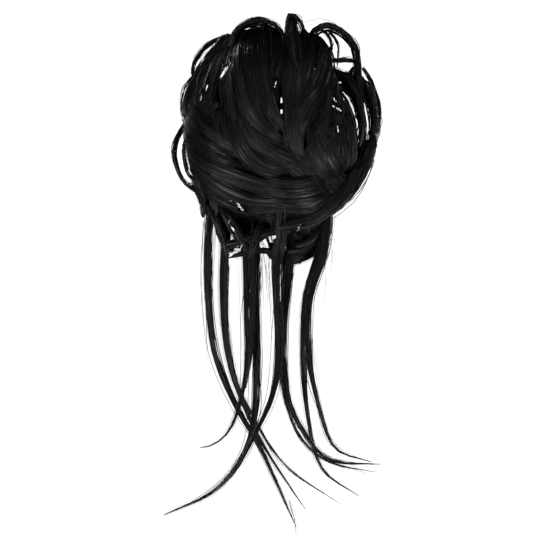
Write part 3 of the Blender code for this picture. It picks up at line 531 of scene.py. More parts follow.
# How sharply lifts and insets change near the rim, and the share of the half height above which
# locks aren't drawn in
RIM_SHARPNESS = 6
INSET_BELOW = 0.5

# Fullness of a dome lock's ends, tucked in or turned over the rim, and the share of its depth that
# its hair takes up
TUCKED_END = 0.16
TURNED_END = 0.90
DOME_LOCK_DEPTH = 0.8

# Fullness of the ends of back locks and loops, of rim locks, and of a tendril's tip
BLUNT_END = 0.40
RIM_LOCK_END = 0.50
TIP_END = 0.16

# Strands of a lock of the full width and of a back lock. A loop's and a tendril's go from the first
# of the pair at no width to the second at the full one. A rim lock's go by its depth, up to the
# depth given, and are shares of a lock's.
LOCK_STRANDS = 70.0
BACK_LOCK_STRANDS = 36.0
RIM_STRANDS = (0.10, 0.60)
RIM_FULL_DEPTH = 1.3
LOOP_STRANDS = (14.0, 80.0)
TENDRIL_STRANDS = (14.0, 46.0)

# Loose hairs round each tendril, rim lock and loop, and how far they stray from it
TENDRIL_HAIRS = 12
TENDRIL_LOOSENESS = 1.8
RIM_HAIRS = 4
RIM_LOOSENESS = 1.25
LOOP_HAIRS = 4
LOOP_HAIR_STRAY = 0.1

# How many hanks a lock of the full width is split into
DOME_HANKS = 4.0
RIM_HANKS = 2.0
LOOP_HANKS = 3.0
BACK_HANKS = 2

# How hanks share a lock: overlap, drift to the side, rise and fall, the waves of both along it, the
# reach of their middles, how far chance shifts and sizes them, and their least half sizes in metres
HANK_OVERLAP = 1.35
HANK_DRIFT = 0.55
HANK_BOB = 1.2
DRIFT_WAVES = 2.2
BOB_WAVES = 2.6
HANK_REACH = 0.86
PLACE_CHANCE = 0.25
HEIGHT_CHANCE = 0.60
WIDTH_CHANCE = (0.75, 1.3)
FINEST_WIDTH = 0.0005
FINEST_DEPTH = 0.0004

# The veil of strands over a whole lock, against the lock's own width, depth, strands and stray
VEIL_WIDTH = 1.1
VEIL_DEPTH = 1.05
VEIL_STRANDS = 0.45
VEIL_STRAY = 1.3

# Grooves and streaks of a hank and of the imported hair: how close they stand round it, how they
# change along it, and how deep the grooves are, as a share of the hank and in metres
HANK_GROOVES = 2.5
HANK_GROOVE_DEPTH = 0.22
HANK_STREAKS = 3.6
HANK_PITCH = 9.0
CORE_GROOVES = 9.0
CORE_GROOVE_DEPTH = 0.0014
CORE_GROOVE_PITCH = 0.07
CORE_STREAKS = 7.0
CORE_STREAK_PITCH = 0.06

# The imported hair's radius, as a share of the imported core's, so that locks cover it
CORE_SHARE = 0.93

# What each group of pieces adds to the seed
BACK_SEED = 1
CORE_SEED = 2
RIM_SEED = 3
LOOP_SEED = 10
TENDRIL_SEED = 30
FLYAWAY_SEED = 60

# The darkest and the lightest streaks of the hair and of the thread, against their colours, and
# what the same streaks of the hair add to its roughness
STRAND_TINTS = (0.12, 7.5)
THREAD_TINTS = (0.5, 2.2)
GLOSS_CHANGES = (0.26, -0.09)

# Soft square lights: where each stands, its side in metres and its share of the key power
Light = namedtuple("Light", "name place size share")
LIGHT_AIM = (0.0, -0.03, -0.05)
LIGHTS = [
    Light("key_left", (-1.0, -0.9, -0.55), size=0.7, share=1.0),
    Light("key_right", (0.66, -0.9, -1.0), size=0.7, share=1.1),
    Light("top", (0.4, -0.9, 1.1), size=0.6, share=0.22),
    Light("back_left", (-0.8, 1.1, 0.5), size=0.8, share=0.7),
    Light("back_right", (0.9, 1.0, 0.2), size=0.8, share=0.6),
]

# The floor: its radius, the radius of its bend, the wall's top, and the fineness of both
FLOOR_REACH = 3.6
FLOOR_BEND = 1.2
WALL_TOP = 4.0
BEND_STEPS = 12
FLOOR_SIDES = 96

# The covered elastic's fineness: points along each turn of thread, and round the band
RIB_POINTS = 3
BAND_SIDES = 12

# Defaults of the strand tree's inputs, which every piece's own values replace
STRAND_INPUTS = {"Strand radius": 0.00018, "Frizz": 0.0006, "Frizz pitch": 3.0, "Spread": 1.1}

# Fineness of the meshes
GUIDE_POINTS = 15
LOOP_POINTS = 18
TENDRIL_POINTS = 30
HANK_SIDES = 8
CORE_SIDES = 120
CORE_FRONT_STEPS = 14
CORE_LIP_STEPS = 10
HOLLOW_WALL_RINGS = 4
HOLLOW_FLOOR_STEPS = 8

# Attributes that a hair mesh carries from its guides to the strands and the material
FLOAT_LAYERS = (
    "half_width", "half_depth", "strands", "wrap", "ragged", "stray", "is_guide", "along"
)
VECTOR_LAYERS = ("side", "out", "flow")
ZERO = (0.0, 0.0, 0.0)


def mix(low, high, share):
    """The value that lies the given share of the way from low to high."""
    return low + (high - low) * share


def shares(count):
    """Evenly spread shares from 0 to 1."""
    return [index / (count - 1) for index in range(count)]


def belly(share):
    """0 at both ends of a lock and 1 in its middle."""
    return math.sin(math.pi * min(max(share, 0.0), 1.0)) ** 0.6


def catmull_rom(before, start, end, after, share):
    """A point between start and end on the smooth curve through all four."""
    return 0.5 * (
        2.0 * start
        + (end - before) * share
        + (2.0 * before - 5.0 * start + 4.0 * end - after) * share**2
        + (3.0 * start - before - 3.0 * end + after) * share**3
    )


def smooth_path(stations, count):
    """Evenly spread points, as many as count says, on a smooth curve through the stations."""
    points = [Vector(station) for station in stations]
    ends = [2.0 * points[0] - points[1], *points, 2.0 * points[-1] - points[-2]]
    fine_steps = 12
    fine = [points[0]]
    for before, start, end, after in zip(ends, ends[1:], ends[2:], ends[3:]):
        for step in range(1, fine_steps + 1):
            fine.append(catmull_rom(before, start, end, after, step / fine_steps))
    lengths = [0.0]
    for start, end in zip(fine, fine[1:]):
        lengths.append(lengths[-1] + (end - start).length)
    path = []
    piece = 0
    for index in range(count):
        target = lengths[-1] * index / (count - 1)
        while piece < len(fine) - 2 and lengths[piece + 1] < target:
            piece += 1
        share = (target - lengths[piece]) / (lengths[piece + 1] - lengths[piece])
        path.append(fine[piece].lerp(fine[piece + 1], min(share, 1.0)))
    return path


def dome_rise(across, up):
    """How far the hair stands in front of the rim plane at a place in the front view."""
    reach = min(1.0, math.hypot(across / BUN_HALF_WIDTH, up / BUN_HALF_HEIGHT))
    return FRONT_RISE * (1.0 - reach**2) ** DOME_POWER


def outward(point):
    """The direction that faces away from the middle of the bun at a point."""
    return Vector(
        (
            point.x / BUN_HALF_WIDTH**2,
            (point.y + RIM_PLANE) / FRONT_RISE**2,
            point.z / BUN_HALF_HEIGHT**2,
        )
    ).normalized()


def seen_at(across, up, y):
    """The place at depth y that the photograph shows where the rim plane has (across, up)."""
    near = (VIEW_DISTANCE + y + RIM_PLANE) / VIEW_DISTANCE
    return Vector((mix(VIEW_ACROSS, across, near), y, mix(VIEW_UP, up, near)))


def turn_side(one, other, point):
    """On which side of the line from one to the other the point lies, as a signed area."""
    line = other - one
    offset = point - one
    return line[..., 0] * offset[..., 1] - line[..., 1] * offset[..., 0]


def crosses(one, other, start, end):
    """Whether each line from one to the other crosses that from start to end, in the front view."""
    apart = turn_side(one, other, start) * turn_side(one, other, end) < 0.0
    return apart & (turn_side(start, end, one) * turn_side(start, end, other) < 0.0)


def read(items, name, width=1, kind=float):
    """One property of every item, as an array."""
    values = np.empty(len(items) * width, kind)
    items.foreach_get(name, values)
    return values


def nearest_on(path, seen):
    """Each point's distance from a path, its offset from there, and that place's share of it."""
    nearest = np.full(len(seen), 1.0)
    away = np.zeros((len(seen), 2))
    share = np.zeros(len(seen))
    lengths = np.linalg.norm(np.diff(path, axis=0), axis=1)
    travelled = 0.0
    for start, end, length in zip(path, path[1:], lengths):
        along = (end - start) / length
        reach = np.clip((seen - start) @ along, 0.0, length)
        offset = seen - (start + reach[:, None] * along)
        distance = np.linalg.norm(offset, axis=1)
        closer = distance < nearest
        nearest[closer] = distance[closer]
        away[closer] = offset[closer]
        share[closer] = ((travelled + reach) / lengths.sum())[closer]
        travelled += length
    return nearest, away, share


def take_out(mesh, chosen):
    """Deletes the chosen faces of a mesh."""
    form = bmesh.new()
    form.from_mesh(mesh)
    form.faces.ensure_lookup_table()
    faces = [form.faces[index] for index in np.flatnonzero(chosen)]
    bmesh.ops.delete(form, geom=faces, context="FACES")
    form.to_mesh(mesh)
    form.free()


def comb_partings(mesh):
    """Combs finished hair aside at the partings, and takes out the faces that would bridge them."""
    places = read(mesh.vertices, "co", 3).reshape(-1, 3)
    near = (VIEW_DISTANCE + places[:, 1] + RIM_PLANE) / VIEW_DISTANCE
    aim = np.array((VIEW_ACROSS, VIEW_UP))
    seen = (places[:, (0, 2)] - aim) / near[:, None] + aim
    corners = read(mesh.loops, "vertex_index", kind=int)
    starts = read(mesh.polygons, "loop_start", kind=int)
    totals = read(mesh.polygons, "loop_total", kind=int)
    spans = [
        (seen[corners[starts]], seen[corners[starts + 2]]),
        (seen[corners[starts + 1]], seen[corners[starts + totals - 1]]),
    ]
    bridging = np.zeros(len(starts), bool)
    for parting in PARTINGS:
        path = np.array(parting.path) * BUN_HALF_WIDTH
        for start, end in zip(path, path[1:]):
            for one, other in spans:
                bridging |= crosses(one, other, start, end)
        nearest, away, share = nearest_on(path, seen)
        width = parting.half_width * np.sqrt(np.clip(np.sin(math.pi * share), 0.0, 1.0))
        zone = PARTING_ZONE_WIDTHS * width + PARTING_ZONE
        moved = (nearest < zone) & (width > parting.half_width * PARTING_LEAST)
        pushed = width + nearest * (zone - width) / zone
        step = (pushed - nearest)[:, None] * away / np.maximum(nearest, 1e-7)[:, None]
        seen[moved] += step[moved]
    # Flow is a random number of each strand's own, so a fraction of it picks the few that stay
    flow = read(mesh.attributes["flow"].data, "vector", 3, np.float32)
    single = read(mesh.attributes["is_guide"].data, "value", 1, np.float32)
    stays = (single > 0.5) & (flow[::3] * 7.31 % 1.0 < CROSSING_SHARE)
    bridging &= ~stays[corners[starts]]
    places[:, (0, 2)] = (seen - aim) * near[:, None] + aim
    mesh.vertices.foreach_set("co", places.ravel())
    if bridging.any():
        take_out(mesh, bridging)
    mesh.update()


def ring_faces(low, high):
    """The four-sided faces between two closed rings of vertices."""
    ends = zip(low, [*low[1:], low[0]], [*high[1:], high[0]], high)
    return [tuple(corners) for corners in ends]


class Guide:
    """The middle line of one hank of hair, with its facing and its half sizes at each point."""

    def __init__(
        self, points, outs, half_widths, half_depths, strands, wrap=0.62, ragged=0.0, stray=1.0
    ):
        self.points = points
        self.half_widths = half_widths
        self.half_depths = half_depths
        self.strands = strands
        self.wrap = wrap
        self.ragged = ragged
        self.stray = stray
        self.sides = []
        self.outs = []
        for index, out in enumerate(outs):
            along = points[min(index + 1, len(points) - 1)] - points[max(index - 1, 0)]
            side = along.cross(out).normalized()
            self.sides.append(side)
            self.outs.append(side.cross(along).normalized())

    def variant(self, points, half_widths, half_depths, strands, stray_share=1.0):
        """A hank with this one's facing and looks, but its own line and sizes."""
        strands = max(4, round(strands))
        stray = self.stray * stray_share
        return Guide(
            points, self.outs, half_widths, half_depths, strands, self.wrap, self.ragged, stray
        )

    def values(self, index):
        """All but the last of the float layers at one of the points."""
        sizes = (self.half_widths[index], self.half_depths[index])
        return (*sizes, self.strands, self.wrap, self.ragged, self.stray, 1.0)


class HairMesh:
    """Gathers hank bodies and guide lines, with what the strands and the material read of them."""

    def __init__(self, seed):
        self.points = []
        self.faces = []
        self.edges = []
        self.layers = {name: [] for name in (*FLOAT_LAYERS, *VECTOR_LAYERS)}
        self.chance = random.Random(seed)

    def add_point(self, point, flow, along=0.0, guide=None, index=0):
        """One vertex with its attributes."""
        self.points.append(point)
        floats = guide.values(index) if guide else [0.0] * (len(FLOAT_LAYERS) - 1)
        vectors = (guide.sides[index], guide.outs[index]) if guide else (ZERO, ZERO)
        for layer, value in zip(self.layers.values(), (*floats, along, *vectors, flow)):
            layer.append(value)
        return len(self.points) - 1

    def add_guide(self, guide):
        """A chain of edges that the strands are grown along."""
        last = None
        count = len(guide.points)
        for index, point in enumerate(guide.points):
            vertex = self.add_point(point, ZERO, index / (count - 1), guide, index)
            if last is not None:
                self.edges.append((last, vertex))
            last = vertex

    def add_body(self, guide, fullness=0.76):
        """A closed hank under the strands, grooved along its length."""
        seed = self.chance.uniform(0.0, 100.0)
        rings = []
        length = 0.0
        count = len(guide.points)
        for index, point in enumerate(guide.points):
            if index:
                length += (point - guide.points[index - 1]).length
            along = length * HANK_PITCH
            rings.append(range(len(self.points), len(self.points) + HANK_SIDES))
            for corner in range(HANK_SIDES):
                angle = math.tau * corner / HANK_SIDES
                across, up = math.cos(angle), math.sin(angle)
                place = Vector((across * HANK_GROOVES, up * HANK_GROOVES, seed + along))
                swell = fullness * (1.0 + HANK_GROOVE_DEPTH * noise.noise(place))
                offset = guide.sides[index] * (guide.half_widths[index] * across * swell)
                offset = offset + guide.outs[index] * (guide.half_depths[index] * up * swell)
                flow = (HANK_STREAKS * across + seed, HANK_STREAKS * up, along)
                self.add_point(point + offset, flow, index / (count - 1))
        for low, high in zip(rings, rings[1:]):
            self.faces += ring_faces(low, high)
        self.faces += [tuple(reversed(rings[0])), tuple(rings[-1])]

    def to_object(self, name):
        """The mesh as an object at the origin, its faces pointing out."""
        mesh = bpy.data.meshes.new(name)
        mesh.from_pydata([tuple(point) for point in self.points], self.edges, self.faces)
        for layer in FLOAT_LAYERS:
            values = self.layers[layer]
            mesh.attributes.new(layer, "FLOAT", "POINT").data.foreach_set("value", values)
        for layer in VECTOR_LAYERS:
            flat = np.array([tuple(vector) for vector in self.layers[layer]], np.float32).ravel()
            mesh.attributes.new(layer, "FLOAT_VECTOR", "POINT").data.foreach_set("vector", flat)
        mesh.shade_smooth()
        mesh.update()
        return put_in(name, mesh)


def put_in(name, data):
    """An object that holds the data, in the scene at the origin."""
    obj = bpy.data.objects.new(name, data)
    bpy.context.scene.collection.objects.link(obj)
    return obj


def split_lock(mesh, guide, hanks, crown=0.50, thickness=0.50):
    """Divides a lock into hanks that wander beside and over each other, and veils them all."""
    chance = mesh.chance
    free = 1.0 - thickness
    count = len(guide.points)
    for number in range(hanks):
        place = mix(-1.0, 1.0, (number + 0.5) / hanks)
        place += chance.uniform(-PLACE_CHANCE, PLACE_CHANCE) / hanks
        height = crown * math.sqrt(max(0.0, 1.0 - place**2))
        height += chance.uniform(-HEIGHT_CHANCE, HEIGHT_CHANCE) * free
        phase = chance.uniform(0.0, 100.0)
        share_of_width = HANK_OVERLAP / hanks * chance.uniform(*WIDTH_CHANCE)
        points = []
        for index, share in enumerate(shares(count)):
            drift = noise.noise(Vector((phase, share * DRIFT_WAVES, 0.0))) * HANK_DRIFT
            bob = noise.noise(Vector((phase + 50.0, share * BOB_WAVES, 0.0))) * HANK_BOB * free
            aside = guide.half_widths[index] * (place + drift) * HANK_REACH
            above = guide.half_depths[index] * (height + bob)
            point = guide.points[index] + guide.sides[index] * aside
            points.append(point + guide.outs[index] * above)
        widths = [max(half * share_of_width, FINEST_WIDTH) for half in guide.half_widths]
        depths = [max(half * thickness, FINEST_DEPTH) for half in guide.half_depths]
        hank = guide.variant(points, widths, depths, guide.strands / hanks)
        mesh.add_body(hank)
        mesh.add_guide(hank)
    widths = [half * VEIL_WIDTH for half in guide.half_widths]
    depths = [half * VEIL_DEPTH for half in guide.half_depths]
    strands = guide.strands * VEIL_STRANDS
    mesh.add_guide(guide.variant(guide.points, widths, depths, strands, VEIL_STRAY))


def over_rim(end):
    """The stations that carry a lock from its end at the rim round to the back, if it has any."""
    reach = math.hypot(end[0] / BUN_HALF_WIDTH, end[1] / BUN_HALF_HEIGHT)
    if reach < RIM_REACH:
        return []
    return [Vector((end[0] * share, -RIM_PLANE + back, end[1] * share)) for share, back in RIM_TURN]


def front_view(stations):
    """Stations given as shares of the bun's half width and half height, in metres."""
    return [(across * BUN_HALF_WIDTH, up * BUN_HALF_HEIGHT) for across, up in stations]


def lock_guide(lock, strands):
    """A lock on the dome: an inner end is tucked in, and an outer one turns over the rim."""
    ends = front_view(lock[1:6])
    tucks = [not over_rim(ends[0]), not over_rim(ends[-1])]
    stations = []
    for share, flat in zip(shares(GUIDE_POINTS), smooth_path(ends, GUIDE_POINTS)):
        reach = math.hypot(flat.x / BUN_HALF_WIDTH, flat.y / BUN_HALF_HEIGHT)
        inset = 1.0
        nearness = min(reach, 1.0) ** RIM_SHARPNESS
        if flat.y < INSET_BELOW * BUN_HALF_HEIGHT:
            inset -= RIM_INSET * lock.depth * LOCK_HALF_DEPTH / BUN_HALF_WIDTH * nearness
        y = -RIM_PLANE - dome_rise(flat.x, flat.y)
        surface = seen_at(flat.x * inset, flat.y * inset, y)
        tucked = (tucks[0] and share < 0.5) or (tucks[1] and share > 0.5)
        tuck = END_TUCK * (1.0 - belly(share)) if tucked else 0.0
        lift = lock.lift * LOCK_HALF_DEPTH * (1.0 - nearness)
        stations.append(surface + outward(surface) * (lift - tuck))
    path = [*reversed(over_rim(ends[0])), *stations, *over_rim(ends[-1])]
    points = smooth_path(path, GUIDE_POINTS)
    fullness = []
    for share in shares(GUIDE_POINTS):
        tucked = tucks[0] if share < 0.5 else tucks[1]
        fullness.append(mix(TUCKED_END if tucked else TURNED_END, 1.0, belly(share)))
    widths = [lock.width * LOCK_HALF_WIDTH * full for full in fullness]
    depths = [lock.depth * LOCK_HALF_DEPTH * full * DOME_LOCK_DEPTH for full in fullness]
    outs = [outward(point) for point in points]
    return Guide(points, outs, widths, depths, strands)


def back_guide(index, strands):
    """A lock from the band over the back and round the rim."""
    start_angle = math.tau * index / BACK_LOCKS
    rim_angle = (start_angle + BACK_LOCK_SWIRL + math.pi) % math.tau - math.pi
    limit = SHORT_REACH if SHORT_SIDE[0] < rim_angle < SHORT_SIDE[1] else 2.0
    stations = []
    for station in BACK_LOCK_STATIONS:
        radius = mix(HOLLOW_RADIUS, CORE_RADIUS, min(station.reach, limit))
        stations.append((radius, mix(BACK_FACE, -CORE_FRONT, station.forward)))
    points = []
    widths = []
    depths = []
    for share, station in zip(shares(GUIDE_POINTS), smooth_path(stations, GUIDE_POINTS)):
        angle = start_angle + BACK_LOCK_SWIRL * share
        points.append(Vector((station.x * math.cos(angle), station.y, station.x * math.sin(angle))))
        fullness = mix(BLUNT_END, 1.0, belly(share))
        widths.append(BACK_LOCK_HALF_WIDTH * fullness)
        depths.append(BACK_LOCK_HALF_DEPTH * fullness)
    return Guide(points, [outward(point) for point in points], widths, depths, strands)


def loop_guide(loop, strands, stray=0.5):
    """A loop at the rim, a band of hair that is broad from front to back."""
    y = -RIM_PLANE - loop.forward * FRONT_RISE
    path = smooth_path(front_view(loop[1:6]), LOOP_POINTS)
    points = [Vector((flat.x, y, flat.y)) for flat in path]
    middle = Vector((sum(p.x for p in points), 0.0, sum(p.z for p in points))) / len(points)
    outs = [Vector((point.x - middle.x, 0.0, point.z - middle.z)).normalized() for point in points]
    fullness = [mix(BLUNT_END, 1.0, belly(share)) for share in shares(LOOP_POINTS)]
    widths = [loop.width * LOOP_HALF_WIDTH * full for full in fullness]
    depths = [loop.depth * LOOP_HALF_DEPTH] * LOOP_POINTS
    return Guide(points, outs, widths, depths, strands, wrap=1.0, stray=stray)


def rim_guide(lock, strands, looseness=1.0):
    """A lock at the rim: it keeps to its path in the front view, whichever way it leans."""
    path = smooth_path(front_view(lock[1:6]), GUIDE_POINTS)
    end_forward = lock.forward if lock.end_forward is None else lock.end_forward
    points = []
    widths = []
    depths = []
    for share, flat in zip(shares(GUIDE_POINTS), path):
        y = -RIM_PLANE - mix(lock.forward, end_forward, share) * FRONT_RISE
        points.append(seen_at(flat.x, flat.y, y))
        fullness = mix(RIM_LOCK_END, 1.0, belly(share)) * looseness
        widths.append(lock.width * LOOP_HALF_WIDTH * fullness)
        depths.append(lock.depth * LOOP_HALF_DEPTH * fullness)
    ends = [points[0], *points, points[-1]]
    back = Vector((0.0, 1.0, 0.0))
    outs = [(after - before).cross(back) for before, after in zip(ends, ends[2:])]
    return Guide(points, outs, widths, depths, strands, wrap=1.0, ragged=0.20, stray=0.5)


def tendril_guide(tendril, strands, looseness=1.0):
    """A tendril, which thins to a fine tip and is broadest across the front view."""
    stations = [(across * BUN_HALF_WIDTH, -down * TENDRIL_DROP) for across, down in tendril[1:9]]
    points = []
    widths = []
    depths = []
    for share, flat in zip(shares(TENDRIL_POINTS), smooth_path(stations, TENDRIL_POINTS)):
        forward = (tendril.layer + tendril.tip_forward * share**3) * BUN_FRONT
        points.append(Vector((flat.x, -forward, flat.y)))
        left = mix(1.0, TIP_END * looseness**2, share**1.6)
        widths.append(tendril.width * TENDRIL_HALF_WIDTH * left * looseness)
        depths.append(tendril.depth * TENDRIL_HALF_DEPTH * left * looseness)
    outs = [Vector((0.0, -1.0, 0.0))] * TENDRIL_POINTS
    return Guide(points, outs, widths, depths, strands, wrap=1.0, ragged=0.35, stray=1.4)


class Tree:
    """A node tree under construction, with a short call for each node and link."""

    def __init__(self, tree):
        self.tree = tree

    def add(self, kind, *inputs, **settings):
        """A node with its settings. An input is a value, a socket to link, or None to leave."""
        node = self.tree.nodes.new(kind)
        for name, value in settings.items():
            setattr(node, name, value)
        sockets = [socket for socket in node.inputs if socket.enabled]
        for socket, value in zip(sockets, inputs):
            if isinstance(value, bpy.types.NodeSocket):
                self.tree.links.new(value, socket)
            elif value is not None:
                socket.default_value = value
        return [socket for socket in node.outputs if socket.enabled]

    def link(self, output, node, name):
        """Links a socket to the named input of a node."""
        self.tree.links.new(output, node.inputs[name])

    def maths(self, operation, *inputs):
        """One step of arithmetic."""
        return self.add("ShaderNodeMath", *inputs, operation=operation)[0]

    def times(self, first, *others):
        """The product of all the inputs."""
        for other in others:
            first = self.maths("MULTIPLY", first, other)
        return first

    def vector(self, operation, *inputs):
        """One step of vector arithmetic."""
        return self.add("ShaderNodeVectorMath", *inputs, operation=operation)[0]

    def stored(self, name, kind="FLOAT"):
        """The value of a named attribute."""
        return self.add("GeometryNodeInputNamedAttribute", name, data_type=kind)[0]


def strand_tree():
    """Grows strands round every guide line of a hair mesh and keeps its hank bodies."""
    group = bpy.data.node_groups.new("grow_strands", "GeometryNodeTree")
    face = group.interface
    face.new_socket("Hair mesh", in_out="INPUT", socket_type="NodeSocketGeometry")
    for label, default in STRAND_INPUTS.items():
        socket = face.new_socket(label, in_out="INPUT", socket_type="NodeSocketFloat")
        socket.default_value = default
    face.new_socket("Seed", in_out="INPUT", socket_type="NodeSocketInt").default_value = 1
    face.new_socket("Hair", in_out="INPUT", socket_type="NodeSocketMaterial")
    face.new_socket("Dressed hair", in_out="OUTPUT", socket_type="NodeSocketGeometry")
    tree = Tree(group)
    sockets = group.nodes.new("NodeGroupInput").outputs
    hair_mesh, radius, frizz, pitch, spread, seed, hair, _ = sockets

    is_guide = tree.maths("GREATER_THAN", tree.stored("is_guide"), 0.5)
    guides, bodies = tree.add("GeometryNodeSeparateGeometry", hair_mesh, is_guide, domain="POINT")
    curves = tree.add("GeometryNodeMeshToCurve", guides)[0]
    strands = tree.add(
        "GeometryNodeDuplicateElements", curves, None, tree.stored("strands"), domain="SPLINE"
    )[0]

    index = tree.add("GeometryNodeInputIndex")[0]
    strand = tree.add("GeometryNodeFieldOnDomain", index, data_type="INT", domain="CURVE")[0]
    along = tree.stored("along")

    def chance(low, high, offset):
        """A random value of its own for each strand."""
        number = tree.maths("ADD", seed, offset)
        return tree.add("FunctionNodeRandomValue", low, high, strand, number, data_type="FLOAT")[0]

    # Where a strand starts round its lock, and how it twists along it
    turn = tree.times(chance(-math.pi, math.pi, 11), tree.stored("wrap"))
    twist = tree.times(tree.maths("SUBTRACT", along, 0.5), chance(-1.6, 1.6, 23))
    angle = tree.maths("ADD", tree.maths("ADD", turn, math.pi / 2.0), twist)

    # Most strands lie in the lock's shell, and a few stand off its middle
    depth_in_lock = tree.maths("POWER", chance(0.0, 1.0, 37), 0.5)
    shell = tree.add("ShaderNodeMapRange", depth_in_lock, 0.0, 1.0, 0.72, spread)[0]
    loose = tree.times(tree.maths("POWER", chance(0.0, 1.0, 41), 9.0), tree.stored("stray"))
    loose_here = tree.times(loose, tree.maths("SINE", tree.times(along, math.pi)))
    reach = tree.maths("ADD", shell, tree.times(loose_here, 0.55))
    across = tree.times(tree.maths("COSINE", angle), tree.stored("half_width"), reach)
    forward = tree.times(tree.maths("SINE", angle), tree.stored("half_depth"), reach)
    side = tree.vector("SCALE", tree.stored("side", "FLOAT_VECTOR"), across)
    out = tree.vector("SCALE", tree.stored("out", "FLOAT_VECTOR"), forward)

    # Frizz wanders along each strand
    place = tree.add(
        "ShaderNodeCombineXYZ",
        tree.times(strand, 3.17),
        tree.times(along, pitch),
        tree.times(seed, 1.7),
    )[0]
    wander = tree.add("ShaderNodeTexNoise", place, 1.0, 1.0, 0.5)[1]
    centred = tree.vector("SUBTRACT", wander, (0.5, 0.5, 0.5))
    sway = tree.times(frizz, tree.maths("ADD", tree.times(loose, 9.0), 1.6))
    shift = tree.vector("SCALE", centred, sway)
    offset = tree.vector("ADD", tree.vector("ADD", side, out), shift)
    placed = tree.add("GeometryNodeSetPosition", strands, None, None, offset)[0]

    # Ragged ends, then the place in the streaks that the material reads, then a solid strand
    cut = tree.times(tree.maths("POWER", chance(0.0, 1.0, 53), 1.6), tree.stored("ragged"))
    left = tree.maths("SUBTRACT", 1.0, cut)
    trimmed = tree.add("GeometryNodeTrimCurve", placed, None, 0.0, left, mode="FACTOR")[0]
    streaks = (chance(0.0, 60.0, 61), chance(0.0, 60.0, 67), tree.times(along, 1.4))
    flow = tree.add("ShaderNodeCombineXYZ", *streaks)[0]
    kept = {"data_type": "FLOAT_VECTOR", "domain": "POINT"}
    marked = tree.add("GeometryNodeStoreNamedAttribute", trimmed, None, "flow", flow, **kept)[0]
    tip = tree.maths("POWER", tree.add("GeometryNodeSplineParameter")[0], 5.0)
    taper = tree.maths("SUBTRACT", 1.0, tree.times(tip, 0.75))
    thickness = tree.times(radius, taper, chance(0.5, 1.3, 71))
    profile = tree.add("GeometryNodeCurvePrimitiveCircle", 3, 1.0)[0]
    solid = tree.add("GeometryNodeCurveToMesh", marked, profile, thickness, True)[0]
    smooth = tree.add("GeometryNodeSetShadeSmooth", solid, None, True)[0]

    joined = group.nodes.new("GeometryNodeJoinGeometry")
    group.links.new(bodies, joined.inputs[0])
    group.links.new(smooth, joined.inputs[0])
    realized = tree.add("GeometryNodeRealizeInstances", joined.outputs[0])[0]
    finished = tree.add("GeometryNodeSetMaterial", realized, None, hair)[0]
    output = group.nodes.new("NodeGroupOutput")
    group.links.new(finished, output.inputs[0])
    return group


def new_material(name):
    """A material of that name, its node tree and its shader."""
    material = bpy.data.materials.new(name)
    material.use_nodes = True
    return material, Tree(material.node_tree), material.node_tree.nodes["Principled BSDF"]


def ramp(tree, factor, shader, ends):
    """A colour ramp from factor to the shader's base colour. Ends are (position, colour)."""
    tint = tree.tree.nodes.new("ShaderNodeValToRGB")
    for element, (position, colour) in zip(tint.color_ramp.elements, ends):
        element.position = position
        element.color = (*colour, 1.0)
    tree.link(factor, tint, "Fac")
    tree.link(tint.outputs["Color"], shader, "Base Color")


def relief(tree, height, shader, strength, distance):
    """A bump from height to the shader's normal."""
    bump = tree.tree.nodes.new("ShaderNodeBump")
    bump.inputs["Strength"].default_value = strength
    bump.inputs["Distance"].default_value = distance
    tree.link(height, bump, "Height")
    tree.link(bump.outputs["Normal"], shader, "Normal")


def hair_material(colour, roughness):
    """Black hair fibre: each strand has its own black and gloss, streaked along its length."""
    material, tree, shader = new_material("black_hair")
    flow = tree.add("ShaderNodeAttribute", attribute_name="flow")[1]
    streak = tree.add("ShaderNodeTexNoise", flow, 1.0, 2.0, 0.55)[0]
    deep, light = [tuple(channel * tint for channel in colour) for tint in STRAND_TINTS]
    ramp(tree, streak, shader, ((0.46, deep), (0.70, light)))
    matt, glossy = [roughness + change for change in GLOSS_CHANGES]
    gloss = tree.add("ShaderNodeMapRange", streak, 0.38, 0.62, matt, glossy)[0]
    tree.link(gloss, shader, "Roughness")
    relief(tree, streak, shader, 0.5, 0.0006)
    shader.inputs["Specular IOR Level"].default_value = 0.38
    return material


def elastic_material(colour):
    """Covered elastic: matt thread wound round the band, with a fine twill."""
    material, tree, shader = new_material("black_elastic")
    weave = tree.add("ShaderNodeAttribute", attribute_name="flow")[1]
    thread = tree.add("ShaderNodeTexWave", weave, 1.0, 1.5, 2.0, 1.0)[0]
    deep, light = [tuple(channel * tint for channel in colour) for tint in THREAD_TINTS]
    ramp(tree, thread, shader, ((0.0, deep), (1.0, light)))
    relief(tree, thread, shader, 0.6, 0.0003)
    shader.inputs["Roughness"].default_value = 0.85
    shader.inputs["Sheen Weight"].default_value = 0.25
    return material


def seamless_material(colour):
    """The pale floor and the wall that it curves up into."""
    material, _, shader = new_material("pale_floor")
    shader.inputs["Base Color"].default_value = (*colour, 1.0)
    shader.inputs["Roughness"].default_value = 0.9
    shader.inputs["Emission Color"].default_value = (*colour, 1.0)
    shader.inputs["Emission Strength"].default_value = 1.0
    return material


def shared(maker, name, *values):
    """The material or node tree of that name, made on first use."""
    library = bpy.data.node_groups if name == "grow_strands" else bpy.data.materials
    return library.get(name) or maker(*values)


def clear_layers(mesh):
    """Takes off the layers that only the growing of strands needs."""
    for layer in (*FLOAT_LAYERS, "side", "out"):
        if layer in mesh.attributes:
            mesh.attributes.remove(mesh.attributes[layer])


